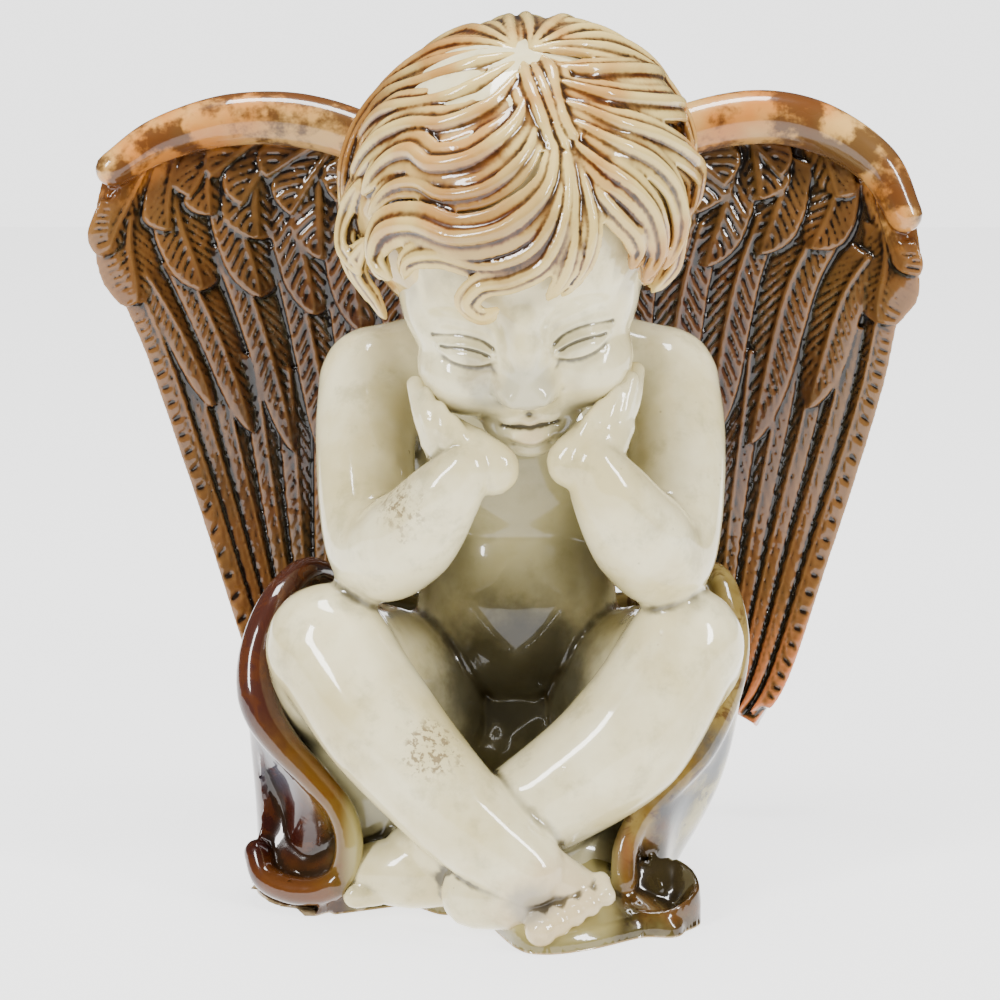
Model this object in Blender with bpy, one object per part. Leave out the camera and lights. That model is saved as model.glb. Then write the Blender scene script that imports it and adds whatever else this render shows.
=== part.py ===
"""Glazed ceramic cherub, seated cross-legged on a cloth with its chin in its hands and its wings open behind.

The whole figure is one cast piece, so it is one solid. X runs to the viewer's right, Y to the back and Z up.
Run it with: blender --background --python part.py
"""

import math

import bmesh
import bpy
import numpy as np
from mathutils import Euler, Matrix, Vector

# Driving dimensions, in metres.
FIGURE_HEIGHT = 0.280  # table to the top of the hair
WING_THICKNESS = 0.0060
FEATHER_RELIEF = 0.0062  # how far a feather's tip stands off the wing
RIM_RADIUS = 0.0078  # the rolled leading edge along the top of a wing
CLOTH_THICKNESS = 0.0078
HEM_RADIUS = 0.0044
LOCK_WIDTH = 0.0118
LOCK_HEIGHT = 0.0120
FINGER_RADIUS = 0.0037
TOE_RADIUS = 0.0040

# The pose is drawn on a figure 280 units tall, so a point below is a share of the figure's height.
UNIT = FIGURE_HEIGHT / 280

# How finely the clay is pressed together and how much its joins are softened.
BODY_VOXEL = 0.0015
FORM_VOXEL = 0.0014
BODY_SOFTENING = 10
FORM_SOFTENING = 2
CLOSING = 0.0012
TRIANGLES = 9950

# Where the carving is fine once the figure stands centred, in units: the centre and radius of each place and
# how freely its faces can be spared, from 0 for not at all to 1.
CARVED = (
    ((3, -48, 166), 42, 0.08),
    ((3, -5, 222), 68, 0.78),
    ((-20, -42, 156), 20, 0.3),
    ((34, -38, 158), 20, 0.3),
    ((20, -68, 10), 26, 0.4),
)
FEATHERED = 0.58
DETAIL_BIAS = 0.08

HEAD_CENTRE = (3, -30, 216)
HEAD_PITCH = 20  # degrees that the head leans forward
HEAD_ROLL = 4.5  # degrees that its crown leans to the viewer's left
HAIR_CENTRE = (1, 5, 5)
HAIR_RADII = (52, 58, 48.5)
HAIR_LEAN = 0.12  # how far the hair leans back to the viewer's right, against the head's roll
PARTING = (46, -20)  # degrees forward of the top of the head that the parting runs between

# Locks on each side of the parting, how far they sway, and their layers: how far down a lock reaches, its
# size and how high it lies.
LOCKS = 12
LOCK_SWAY = 0.065
LOCK_LAYERS = ((1.0, 1.0, -0.8), (0.7, 1.12, 1.6))

# Curls at the brow and the temples: the angles round and up to each, its size and the way it winds.
CURLS = ((-6, 4, 8, 1), (-44, -9, 6, -1), (32, 0, 6, 1))

GLAZE_COLOUR = (0.72, 0.68, 0.55, 1.0)
GLAZE_ROUGHNESS = 0.18


def at(point):
    """A point of the pose, in metres."""
    return np.array(point, float) * UNIT


def through(points, count):
    """Points on a smooth curve through the given ones (Catmull-Rom), evenly shared between them."""
    given = np.array(points, float)
    padded = np.vstack([2 * given[0] - given[1], given, 2 * given[-1] - given[-2]])
    places = np.linspace(0, len(given) - 1, count)
    start = np.minimum(places.astype(int), len(given) - 2)
    t = (places - start)[:, None]
    a, b, c, d = (padded[start + i] for i in range(4))
    return 0.5 * (2 * b + (c - a) * t + (2 * a - 5 * b + 4 * c - d) * t**2 + (3 * b - a - 3 * c + d) * t**3)


def unit(vectors):
    return vectors / np.maximum(np.linalg.norm(vectors, axis=-1, keepdims=True), 1e-12)


class Clay:
    """Closed lumps of clay, kept until they are pressed into one."""

    def __init__(self):
        self.points = []
        self.faces = []
        self.count = 0

    def add(self, points, faces):
        self.points.append(points)
        self.faces += [[i + self.count for i in face] for face in faces]
        self.count += len(points)

    def ball(self, centre, radii, turn=(0, 0, 0)):
        """An ellipsoid, turned about X, Y and Z by degrees."""
        shape = bmesh.new()
        bmesh.ops.create_icosphere(shape, subdivisions=3, radius=1)
        spin = Euler([math.radians(a) for a in turn]).to_matrix()
        points = np.array([spin @ Vector(np.array(v.co) * np.array(radii, float)) for v in shape.verts])
        faces = [[v.index for v in face.verts] for face in shape.faces]
        shape.free()
        self.add(points * UNIT + at(centre), faces)

    def roll(self, path, widths, heights=None, outward=(0, -0.3, 1), steps=8, sides=14):
        """A roll of clay along a path, with round ends. Widths and heights are half sizes.

        Outward is where its heights point.
        """
        heights = widths if heights is None else heights
        count = steps * (len(path) - 1) + 1
        line = through(path, count)
        across = np.interp(np.linspace(0, 1, count), np.linspace(0, 1, len(widths)), widths)
        up = np.interp(np.linspace(0, 1, count), np.linspace(0, 1, len(heights)), heights)
        along = unit(np.gradient(line, axis=0))
        outward = np.broadcast_to(np.array(outward, float), (len(path), 3))
        outward = through(outward, count)
        side = unit(np.cross(along, outward))
        top = unit(np.cross(side, along))
        ends = np.radians([60, 30])
        rings = [(line[0] - along[0] * across[0] * math.sin(a), 0, math.cos(a)) for a in ends]
        rings += [(line[i], i, 1) for i in range(count)]
        final = count - 1
        rings += [(line[-1] + along[-1] * across[-1] * math.sin(a), final, math.cos(a)) for a in ends[::-1]]
        turn = np.linspace(0, 2 * math.pi, sides, endpoint=False)[:, None]
        points = [line[0] - along[0] * across[0]]
        for centre, i, size in rings:
            spokes = np.cos(turn) * across[i] * side[i] + np.sin(turn) * up[i] * top[i]
            points += list(centre + size * spokes)
        points.append(line[-1] + along[-1] * across[-1])
        last = len(points) - 1
        faces = [[0, 1 + (j + 1) % sides, 1 + j] for j in range(sides)]
        for r in range(len(rings) - 1):
            row = 1 + r * sides
            for j in range(sides):
                k = (j + 1) % sides
                faces.append([row + j, row + k, row + sides + k, row + sides + j])
        row = 1 + (len(rings) - 1) * sides
        faces += [[last, row + j, row + (j + 1) % sides] for j in range(sides)]
        self.add(np.array(points), faces)

    def slab(self, front, back):
        """A closed sheet between two grids of points of one size, with the front grid's faces outward."""
        rows, columns = front.shape[:2]
        points = np.vstack([front.reshape(-1, 3), back.reshape(-1, 3)])
        half = rows * columns
        faces = []
        for i in range(rows - 1):
            for j in range(columns - 1):
                a = i * columns + j
                quad = [a, a + 1, a + columns + 1, a + columns]
                faces.append(quad)
                faces.append([k + half for k in quad[::-1]])
        edge = [j for j in range(columns)]
        edge += [i * columns + columns - 1 for i in range(1, rows)]
        edge += [(rows - 1) * columns + j for j in range(columns - 2, -1, -1)]
        edge += [i * columns for i in range(rows - 2, 0, -1)]
        for k, a in enumerate(edge):
            b = edge[(k + 1) % len(edge)]
            faces.append([b, a, a + half, b + half])
        self.add(points, faces)

    def pressed(self, name, voxel, softening, closing=0):
        """One mesh of all the lumps, remeshed and softened, with gaps under twice the closing filled."""
        mesh = bpy.data.meshes.new(name)
        mesh.from_pydata(np.vstack(self.points).tolist(), [], self.faces)
        shape = bmesh.new()
        shape.from_mesh(mesh)
        bmesh.ops.recalc_face_normals(shape, faces=shape.faces)
        shape.to_mesh(mesh)
        shape.free()
        lump = bpy.data.objects.new(name, mesh)
        bpy.context.scene.collection.objects.link(lump)
        for swelling in (0, closing, -closing) if closing else (0,):
            if swelling:
                swell = lump.modifiers.new("swell", "DISPLACE")
                swell.mid_level = 0
                swell.strength = swelling
            remesh = lump.modifiers.new("press", "REMESH")
            remesh.mode = "VOXEL"
            remesh.voxel_size = voxel
        soften = lump.modifiers.new("soften", "SMOOTH")
        soften.factor = 0.5
        soften.iterations = softening
        graph = bpy.context.evaluated_depsgraph_get()
        made = bpy.data.meshes.new_from_object(lump.evaluated_get(graph))
        bpy.data.objects.remove(lump)
        return made

    def take(self, mesh):
        """Adds a finished mesh as one more lump."""
        points = np.empty(len(mesh.vertices) * 3, np.float32)
        mesh.vertices.foreach_get("co", points)
        self.add(points.reshape(-1, 3).astype(float), [list(face.vertices) for face in mesh.polygons])


def head_turn():
    """The head's rotation: rolled to the side, then leaned forward."""
    roll = Matrix.Rotation(math.radians(-HEAD_ROLL), 3, "Y")
    pitch = Matrix.Rotation(math.radians(HEAD_PITCH), 3, "X")
    return np.array(roll @ pitch)


def on_head(points):
    """Points of the head's own frame, in units from its centre with the face at -Y, as points of the pose."""
    return np.array(points, float) @ head_turn().T + np.array(HEAD_CENTRE, float)


def torso(clay):
    """Pelvis, belly, chest, the shoulders across and the neck."""
    clay.ball((4, 12, 40), (45, 34, 40))
    clay.ball((4, 1, 84), (33, 26, 38))
    clay.ball((4, 6, 134), (38, 27, 42))
    shoulders = [at((-38, 4, 160)), at((4, 9, 166)), at((47, 4, 160))]
    clay.roll(shoulders, [17.5 * UNIT, 20 * UNIT, 17.5 * UNIT])
    clay.roll([at((4, 4, 168)), at((4, -14, 196))], [20 * UNIT, 20 * UNIT])


def limb(clay, joints):
    """A limb through its joints, each given as a point and a radius in units."""
    clay.roll([at(point) for point, _ in joints], [radius * UNIT for _, radius in joints], sides=20)


ARMS = (
    (((-42, 2, 159), 18.5), ((-44.5, -18, 140), 16), ((-40.5, -41, 114), 15.5), ((-29, -57, 122), 15.5),
     ((-19, -65, 136), 12), ((-12, -67, 145), 9)),
    (((51, 2, 159), 18.5), ((54.5, -18, 140), 16), ((50.5, -41, 113), 16), ((41, -56, 122), 16),
     ((32, -64, 137), 12.5), ((27, -66, 146), 9.5)),
)
THIGHS = (
    (((-20, 8, 42), 29), ((-40, -14, 60), 27), ((-50, -28, 68), 26), ((-56, -44, 82), 20)),
    (((30, 8, 42), 29), ((44, -14, 60), 27), ((52, -28, 68), 25), ((57, -44, 83), 19)),
)
FRONT_SHIN = (((-56, -45, 84), 19.5), ((-38, -62, 62), 19), ((-14, -75, 38), 16), ((7, -82, 22), 12.5))
BACK_SHIN = (
    ((57, -45, 84), 18.5), ((38, -57, 57), 20.5), ((12, -62, 38), 17), ((-12, -62, 25), 14),
    ((-28, -58, 18), 11.5),
)


# Clay under the knees and shins, where the cloth is bunched.
MOUNDS = (
    ((-44, -26, 28), (27, 26, 34)), ((40, -24, 27), (21, 27, 33)), ((6, -42, 12), (44, 26, 22)),
    ((0, 14, 30), (54, 38, 42)),
)


def limbs(clay):
    for centre, radii in MOUNDS:
        clay.ball(centre, radii)
    for arm in ARMS:
        limb(clay, arm)
    for thigh in THIGHS:
        limb(clay, thigh)
    limb(clay, FRONT_SHIN)
    limb(clay, BACK_SHIN)


def feet(clay):
    """The foot in front, with its toes to the viewer's right, and the one that shows behind it on the left."""
    limb(clay, (((-9, -75, 12), 11), ((4, -80, 13), 11), ((13, -82, 10), 8)))
    limb(clay, (((3, -79, 23), 12), ((12, -80, 19), 10.5), ((21, -79, 15), 8)))
    limb(clay, (((-14, -60, 15), 12), ((-30, -60, 14), 12), ((-40, -58, 13), 10)))
    toe = TOE_RADIUS
    for i in range(5):
        share = i / 4
        root = np.array((9.5 + 20 * share, -84 + 5 * share, 9 + 8.5 * share))
        tip = root + np.array((1.5, -9 + 2.5 * share, -2.5))
        size = toe * (1.25 - 0.45 * share)
        clay.roll([at(root), at((root + tip) / 2 + (0, 0, 0.6)), at(tip)], [size, size * 0.86, size])
    for i in range(4):
        share = i / 3
        root = np.array((-40, -64 + 14 * share, 8 + 8 * share))
        clay.roll([at(root), at(root + (-7, -1, -0.5))], [toe, toe])


FINGERS = (
    ((-20.5, -60, 148), (-24.5, -58, 159), (-27.5, -52, 168.5)),
    ((-18.5, -63, 149), (-22, -62, 158.5), (-24.2, -56.5, 166)),
    ((-15, -65, 149), (-18, -65, 157), (-20.3, -61, 162.5)),
    ((-11, -66, 149), (-14, -66, 155), (-16.5, -63, 159)),
    ((30, -62, 151), (35, -59, 161), (38.3, -53.5, 170.5)),
    ((33, -58, 153), (38, -54, 163), (40.3, -47, 172)),
    ((26, -64, 151), (30.5, -62, 160), (34.5, -57, 167)),
    ((22, -65, 151), (26, -64, 158), (30, -60, 163)),
)
# Each palm's path from the wrist to the fingers, with its half widths and half thicknesses.
PALMS = (
    (((-4, -65, 145), (-12, -64, 149), (-19, -60, 154)), (8.5, 9.5, 7.5), (6.5, 6.5, 5.5)),
    (((21, -65, 147), (28, -63, 152), (33, -58, 157)), (8.5, 9.5, 7), (6.5, 6.5, 5.5)),
)


def hands(clay):
    for palm, widths, heights in PALMS:
        clay.roll([at(p) for p in palm], at(widths), at(heights), outward=(0, -1, 0.2))
    for finger in FINGERS:
        size = FINGER_RADIUS
        clay.roll([at(p) for p in finger], [size * 1.1, size * 1.05, size * 0.85])


def head(clay):
    """The skull and the face, with round cheeks, a small nose, closed-looking eyes and lips."""
    turn = (HEAD_PITCH, -HEAD_ROLL, 0)

    def lump(centre, radii):
        clay.ball(on_head(centre), radii, turn)

    lump((1.5, 5, 8), (47, 55, 49))
    lump((0, -17, -12), (37.5, 32, 36))
    lump((0, -20, -29), (32.5, 28.5, 30))
    for side in (-1, 1):
        lump((16.5 * side, -28, -33), (17, 18, 16))
    lump((0, -35, -50), (15, 13, 11))


# Strokes that shape the face, in units on the head's own frame: the place across and up, the stroke's size
# across and up, and how far it raises the clay. A stroke is put on both sides unless it is on the middle line.
FACE_STROKES = (
    (17, -13, 11, 6.5, -4.4),
    (17, -18.8, 7.4, 4.4, 4.4),
    (15, -3.5, 13, 4, 1.6),
    (0, -8, 8, 5, 1.5),
    (0, -14, 6.0, 8, 3.6),
    (0, -23, 7.0, 7, 5.2),
    (0, -30, 7.2, 4.8, 7.6),
    (7.6, -31.4, 3.4, 3.0, 3.6),
    (0, -37.6, 2.6, 2.6, -1.4),
    (0, -41, 11, 7, 1.6),
    (3.4, -43.2, 3.8, 1.8, 2.2),
    (0, -46.2, 6.8, 1.1, -3.0),
    (0, -49.2, 4.8, 2.0, 3.0),
    (8.8, -46.4, 2.0, 2.0, -1.4),
    (0, -53.0, 6.5, 2.0, -1.8),
    (0, -57, 7, 4, 1.8),
    (23, -34, 11, 9, 1.6),
)
LID_EDGES = ((17, -14.2, 8.0, 1.3, -1.5), (17, -21.6, 8.0, 1.3, -2.2), (17, -24.2, 8.0, 1.6, 1.0))


def shape_face(mesh):
    """Raises and hollows the front of the head by the strokes. A lid edge is bowed in its middle."""
    points = np.empty(len(mesh.vertices) * 3, np.float32)
    mesh.vertices.foreach_get("co", points)
    points = points.reshape(-1, 3).astype(float)
    local = (points / UNIT - np.array(HEAD_CENTRE)) @ head_turn()
    x, y, z = local.T
    facing = np.clip((-y - 16) / 12, 0, 1) * (np.abs(z + 10) < 60)
    raised = np.zeros(len(x))
    for stroke in FACE_STROKES + LID_EDGES:
        across, up, wide, tall, height = stroke
        for side in (-1, 1) if across else (1,):
            dx = (x - side * across) / wide
            sag = -1.4 * dx**2 if stroke in LID_EDGES[:1] else 1.6 * dx**2 if stroke in LID_EDGES else 0
            raised += height * np.exp(-(dx**2) - ((z - up - sag) / tall) ** 2)
    shift = np.stack([0 * x, -raised * facing, 0.15 * -raised * facing], -1) @ head_turn().T * UNIT
    mesh.vertices.foreach_set("co", (points + shift).astype(np.float32).ravel())
    mesh.update()


def heading(azimuth, elevation):
    """A direction from the middle of the head. Azimuth 0 is the face, and 90 is the viewer's right."""
    a, e = np.radians(azimuth), np.radians(elevation)
    return np.stack([np.cos(e) * np.sin(a), -np.cos(e) * np.cos(a), np.sin(e)], -1)


def on_hair(out, lift):
    """Points of the hair in the given directions, lifted off the skull by so many units."""
    local = np.array(HAIR_CENTRE) + out * (np.array(HAIR_RADII) + np.expand_dims(lift, -1))
    local[..., 0] += HAIR_LEAN * out[..., 2] * HAIR_RADII[2]
    return on_head(local) * UNIT


def hairline(azimuth):
    """The elevation that the hair ends at: high over the brow, low over the ears and the nape."""
    return np.interp(abs(azimuth), (0, 25, 50, 75, 120, 180), (8, 3, -14, -29, -36, -42))


def lock(clay, start, via, end, reach, size, lift, phase):
    """One lock that runs over the skull by three directions as far as its reach, swaying from side to side."""
    t = np.linspace(0, reach, 9)[:, None]
    out = unit((1 - t) ** 2 * start + 2 * t * (1 - t) * via + t**2 * end)
    along = unit(np.gradient(out, axis=0))
    out = unit(out + np.cross(along, out) * LOCK_SWAY * np.sin(t * 7.5 + phase) * np.minimum(1, 3 * t))
    rise = lift + 1.0 * np.sin(t[:, 0] * 9 + phase)
    share = np.interp(t[:, 0] / reach, (0, 0.3, 0.8, 1), (0.35, 1, 0.95, 0.35)) * size
    clay.roll(list(on_hair(out, rise)), share * LOCK_WIDTH / 2, share * LOCK_HEIGHT / 2, out @ head_turn().T)


def parting(angle):
    """A direction on the parting, by degrees forward of the top of the head."""
    a = math.radians(angle)
    return unit(np.array((0.2, -math.sin(a), math.cos(a))))


def swept(side, share):
    """Where a lock passes and ends. At the viewer's left the front ones sweep over the brow."""
    if side > 0:
        azimuth = 19 + 157 * share
        return heading(azimuth + 16 * (1 - share), hairline(azimuth) + 42), heading(azimuth, hairline(azimuth))
    azimuth = -46 - 130 * share
    via = heading(-12 - 164 * share**1.1, np.interp(share, (0, 0.25, 0.45, 1), (14, 44, 50, 18)))
    return via, heading(azimuth, hairline(azimuth) + 9 * (1 - share) ** 4)


def hair(clay):
    """Locks that part along the top of the head and sweep down, with a shorter one on every other of them."""
    clay.ball(on_head((1, 8, 9)), (49, 54, 45), (HEAD_PITCH, -HEAD_ROLL, 0))
    for side in (-1, 1):
        for i in range(LOCKS):
            share = i / (LOCKS - 1)
            jitter = math.sin(2.7 * i + 1.3 * side)
            start = parting(PARTING[0] + (PARTING[1] - PARTING[0]) * share**0.8)
            via, end = swept(side, share)
            end = unit(end + np.array((0, 0, 0.05 * jitter)))
            for reach, size, lift in LOCK_LAYERS[: 1 + (i + (side > 0)) % 2]:
                lock(clay, start, via, end, reach, size * (1 + 0.1 * jitter), lift, 1.6 * i + side)
    for azimuth, elevation, wide, turn in CURLS:
        angle = np.linspace(0, 4.6, 9)
        spiral = wide * (1 - 0.16 * angle)
        out = heading(azimuth + turn * spiral * np.sin(angle), elevation + spiral * np.cos(angle))
        path = on_hair(out, 1.5)
        thick = np.array((0.40, 0.36, 0.24)) * LOCK_WIDTH
        clay.roll(list(path), thick, thick * 0.8, out @ head_turn().T)


WINGS = (
    {
        "rim": (
            (-20, 34, 220), (-44, 42, 236), (-68, 46, 243), (-92, 46, 243), (-114, 42, 237), (-129, 36, 228),
        ),
        "outer": (
            (-129, 36, 228), (-135, 36, 204), (-127, 40, 184), (-118, 44, 160), (-105, 46, 117),
            (-89, 41, 62), (-80, 34, 32),
        ),
    },
    {
        "rim": (
            (26, 34, 220), (52, 42, 237), (80, 46, 244), (103, 46, 241), (123, 42, 229), (132, 36, 213),
        ),
        "outer": (
            (132, 36, 213), (137, 36, 191), (130, 40, 176), (124, 44, 146), (109, 46, 92), (95, 38, 48),
            (84, 32, 30),
        ),
    },
)
INNER_EDGE = ((0, 34, 220), (-4, 36, 180), (0, 38, 120), (16, 38, 76), (36, 34, 40))
RIM_SHARES = (1, 1.1, 1.15, 1.1, 0.95, 0.75)  # how thick the rim is from its root to its end
WING_CUP = 12  # units that the middle of a wing lies behind its edges

# Rows of feathers, the lowest row first: how many across the wing, how far the row is shifted along by shares
# of one feather, and where its feathers start and end between the rim and the wing's tip.
FEATHER_ROWS = (
    (6, 0.0, 0.36, 0.99),
    (6, 0.5, 0.18, 0.475),
    (6, 0.0, 0.11, 0.255),
    (7, 0.5, 0.06, 0.165),
    (7, 0.0, 0.01, 0.105),
)


def wing_sheet(wing):
    """The middle surface of a wing by s, from its root to its outer edge, and t, from its rim to its tips."""
    rim = through(wing["rim"], 33)
    outer = through(wing["outer"], 33)
    side = math.copysign(1, wing["rim"][-1][0])
    root = np.array(wing["rim"][0], float)
    inner = through([(root[0] + side * x, y, z) for x, y, z in INNER_EDGE], 33)
    places = np.linspace(0, 1, 33)

    def read(curve, where):
        return np.stack([np.interp(where, places, curve[:, k]) for k in range(3)], -1)

    def surface(s, t):
        s, t = np.broadcast_arrays(np.asarray(s, float), np.asarray(t, float))
        plain = read(inner, t) * (1 - s)[..., None] + read(outer, t) * s[..., None]
        straight = inner[0] * (1 - s)[..., None] + outer[0] * s[..., None]
        plain = plain + (read(rim, s) - straight) * ((1 - np.clip(t, 0, 1)) ** 2)[..., None]
        plain[..., 1] += WING_CUP * np.sin(math.pi * np.clip(s, 0, 1)) * (1 - 0.4 * t)
        return plain * UNIT

    return surface


def lifted(surface, s, t, height):
    """Points above the sheet, towards the viewer, by a height in metres."""
    step = 1e-3
    across = surface(s + step, t) - surface(s - step, t)
    down = surface(s, t + step) - surface(s, t - step)
    normal = unit(np.cross(across, down))
    normal = np.where(normal[..., 1:2] > 0, -normal, normal)
    return surface(s, t) + normal * np.asarray(height)[..., None]


def feathers(s, t):
    """How far the feathers stand off a wing, in shares of their relief. Each has a round tip and a shaft."""
    height = np.zeros(s.shape)
    for count, shift, start, end in FEATHER_ROWS:
        for i in range(count + (shift > 0)):
            u = (t - start) / (end - start)
            tip = np.sqrt(np.clip(1 - (np.clip(u - 0.7, 0, 1) / 0.3) ** 2, 0.0025, 1))
            width = 0.56 * (0.85 + 0.15 * np.clip(u / 0.6, 0, 1)) * tip
            v = (s * count - i - 0.5 + shift) / width
            inside = (np.abs(v) < 1) & (u > 0) & (u < 1)
            dome = 1 - np.clip(np.abs(v), 0, 1) ** 1.8
            shaft = 0.14 * np.exp(-((v * tip / 0.13) ** 2))
            rise = (0.35 + 0.65 * np.clip(u, 0, 1) ** 0.7) * (0.2 + 0.8 * dome) + shaft
            height = np.where(inside, np.maximum(height, rise), height)
    return height


def wings(clay):
    for wing in WINGS:
        surface = wing_sheet(wing)
        s, t = np.meshgrid(np.linspace(0, 1, 110), np.linspace(0, 0.97, 190), indexing="ij")
        half = WING_THICKNESS / 2
        relief = FEATHER_RELIEF * feathers(s, t)
        clay.slab(lifted(surface, s, t, half + relief), lifted(surface, s, t, np.full(s.shape, -half)))
        rim = [at(p) for p in wing["rim"]]
        clay.roll([p + at((0, -3, -4)) for p in rim], [RIM_RADIUS * share for share in RIM_SHARES])
        side = math.copysign(1, wing["rim"][-1][0])
        root = [at((4 + side * x, y, z)) for x, y, z in ((12, 18, 150), (18, 28, 190), (30, 38, 220))]
        clay.roll(root, [15 * UNIT, 13 * UNIT, 9 * UNIT], sides=20)


# The cloth's upper edge from the front at the viewer's left, round the back to the front at the right, and
# where it meets the table below each of those places.
CLOTH_EDGE = (
    (-54, -63, 9), (-49, -63, 20), (-51, -60, 33), (-63, -53, 46), (-75, -46, 58), (-79, -38, 74),
    (-74, -28, 91), (-64, -8, 98), (-50, 18, 84), (-30, 40, 74), (4, 48, 72), (38, 40, 74), (56, 18, 84),
    (66, -8, 98), (72, -28, 90), (72, -41, 74), (64, -50, 54), (50, -58, 40), (39, -64, 28), (37, -70, 14),
)
CLOTH_FLOOR = (
    (-60, -62), (-68, -57), (-74, -52), (-79, -40), (-79, -20), (-79, -4), (-75, 12), (-64, 28), (-46, 42),
    (-24, 52), (4, 56), (28, 52), (42, 42), (50, 28), (52, 10), (50, -10), (48, -28), (48, -44), (50, -56),
    (52, -68),
)
BELOW_TABLE = -4  # units that the cloth's wall reaches down before the underside is cut flat
CLOTH_FOLDS = 9
FOLD_DEPTH = 1.8
FOOTPRINT = (
    (-54, -62), (-36, -50), (-20, -62), (-10, -60), (3, -90), (12, -96), (26, -92), (42, -82), (56, -76),
    (54, -20), (50, 34), (4, 54), (-58, 34), (-76, -20),
)
# How thick the hem is along it.
HEM_SHARES = (0.9, 1, 1, 1.15, 1.5, 1.3, 1.1, 1, 0.9, 0.9, 0.9, 1, 1.1, 1.1, 1, 1, 0.9, 0.9)

# The pocket of cloth under the knee at the viewer's left: its outer side and its hem, from the top down.
POCKET_OUTER = ((-77, -42, 52), (-79, -41, 40), (-78, -42, 28), (-79, -46, 16), (-75, -53, 9))
POCKET_HEM = ((-75, -45, 57), (-64, -52, 46), (-53, -59, 34), (-50, -63, 21), (-55, -63, 10))
POCKET_DEPTH = 9
# The pocket's rolled lip on the table, and the rim of the cloth's curled end at the viewer's right.
LIP = ((-79, -46, 15), (-76, -52, 9), (-68, -58, 7), (-59, -62, 8), (-53, -64, 11))
CURLED_END = (
    (38, -68, 16), (46, -63, 18), (55, -60, 16), (60, -65, 13), (60, -71, 10), (53, -78, 7), (44, -80, 6),
    (37, -76, 8),
)
MIDDLE_OF_CLOTH = (4, -8)
# How far the cloth's wall hollows in at places along it, as shares of its length and in units.
HOLLOWS = ((0, 0.04, 0.14, 0.22, 0.6, 0.74, 0.85, 1), (2, 11, 9, 3, 3, -6, -2, 6))


def dish(clay, ring, shares):
    """A low mound or bowl: rings drawn in towards their middle by shares, each raised by so many units."""
    ring = through(ring + ring[:1], 57)
    ring[-1] = ring[0]
    centre = ring[:-1].mean(0) * (1, 1, 0)
    grid = [centre + (ring - centre) * (share, share, 1) + (0, 0, rise) for share, rise in shares]
    grid = np.array(grid)
    under = grid.copy()
    under[..., 2] = 2 * BELOW_TABLE
    clay.slab(grid * UNIT, under * UNIT)


def pocket(clay):
    """The hollow of cloth between the hem and the fold behind it, with a lip on the table."""
    outer, hem = through(POCKET_OUTER, 25)[:, None], through(POCKET_HEM, 25)[:, None]
    across = np.linspace(0, 1, 13)[None, :, None]
    down = np.linspace(0, 1, 25)[:, None]
    front = outer * (1 - across) + hem * across
    front[..., 1] += POCKET_DEPTH * np.sin(math.pi * across[..., 0]) * np.sin(math.pi * (0.05 + 0.9 * down))
    clay.slab(front * UNIT, (front + np.array((4, 14, 0))) * UNIT)
    clay.roll([at(p) for p in LIP], [HEM_RADIUS] * 2)


def cloth(clay):
    """The cloth that the figure sits on: drawn up round the knees and the back, and spread on the table."""
    edge = through(CLOTH_EDGE, 91) * UNIT
    floor = through([(x, y, BELOW_TABLE) for x, y in CLOTH_FLOOR], 91) * UNIT
    middle = np.array(MIDDLE_OF_CLOTH) * UNIT
    away = edge[:, :2] - middle
    away = np.hstack([unit(away), np.zeros((len(edge), 1))])
    down = np.linspace(0, 1, 17)[:, None, None]
    places = np.linspace(0, 1, len(edge))[None, :, None]
    folds = FOLD_DEPTH * UNIT * np.sin(places * 2 * math.pi * CLOTH_FOLDS)
    folds = folds * np.sin(math.pi * np.clip(down * 1.2, 0, 1))
    sheet = edge[None] * (1 - down) + floor[None] * down
    hollow = UNIT * np.sin(math.pi * down) * np.interp(places, HOLLOWS[0], HOLLOWS[1])
    sheet = sheet + away[None] * (folds - hollow)
    clay.slab(sheet + away[None] * CLOTH_THICKNESS / 2, sheet - away[None] * CLOTH_THICKNESS / 2)
    clay.roll(list(edge[::5]), [HEM_RADIUS * share for share in HEM_SHARES], steps=5)
    pocket(clay)
    dish(clay, CURLED_END, ((1.06, -4), (1.0, 2), (0.75, 0), (0.4, -3), (0.05, -4)))
    footprint = tuple((x, y, 0) for x, y in FOOTPRINT)
    dish(clay, footprint, ((1.0, -6), (1.0, 3), (0.96, 6), (0.85, 9), (0.5, 20), (0.05, 24)))


def at_the_table(mesh):
    """Moves the mesh so that its box stands centred on the origin, with the table's plane at Z = 0."""
    points = np.empty(len(mesh.vertices) * 3, np.float32)
    mesh.vertices.foreach_get("co", points)
    points = points.reshape(-1, 3)
    lowest, highest = points.min(0), points.max(0)
    points[:, :2] -= (lowest + highest)[:2] / 2
    mesh.vertices.foreach_set("co", points.ravel())
    mesh.update()


def flat_underside(figure):
    """Cuts the figure off flat at the table."""
    mesh = bpy.data.meshes.new("table_cutter")
    shape = bmesh.new()
    bmesh.ops.create_cube(shape, size=1)
    shape.to_mesh(mesh)
    shape.free()
    cutter = bpy.data.objects.new("table_cutter", mesh)
    cutter.scale = (2 * FIGURE_HEIGHT, 2 * FIGURE_HEIGHT, 0.2 * FIGURE_HEIGHT)
    cutter.location = (0, 0, -0.1 * FIGURE_HEIGHT)
    cutter.hide_render = True
    cutter.display_type = "WIRE"
    bpy.context.scene.collection.objects.link(cutter)
    cut = figure.modifiers.new("flat underside", "BOOLEAN")
    cut.operation = "DIFFERENCE"
    cut.object = cutter


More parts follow.
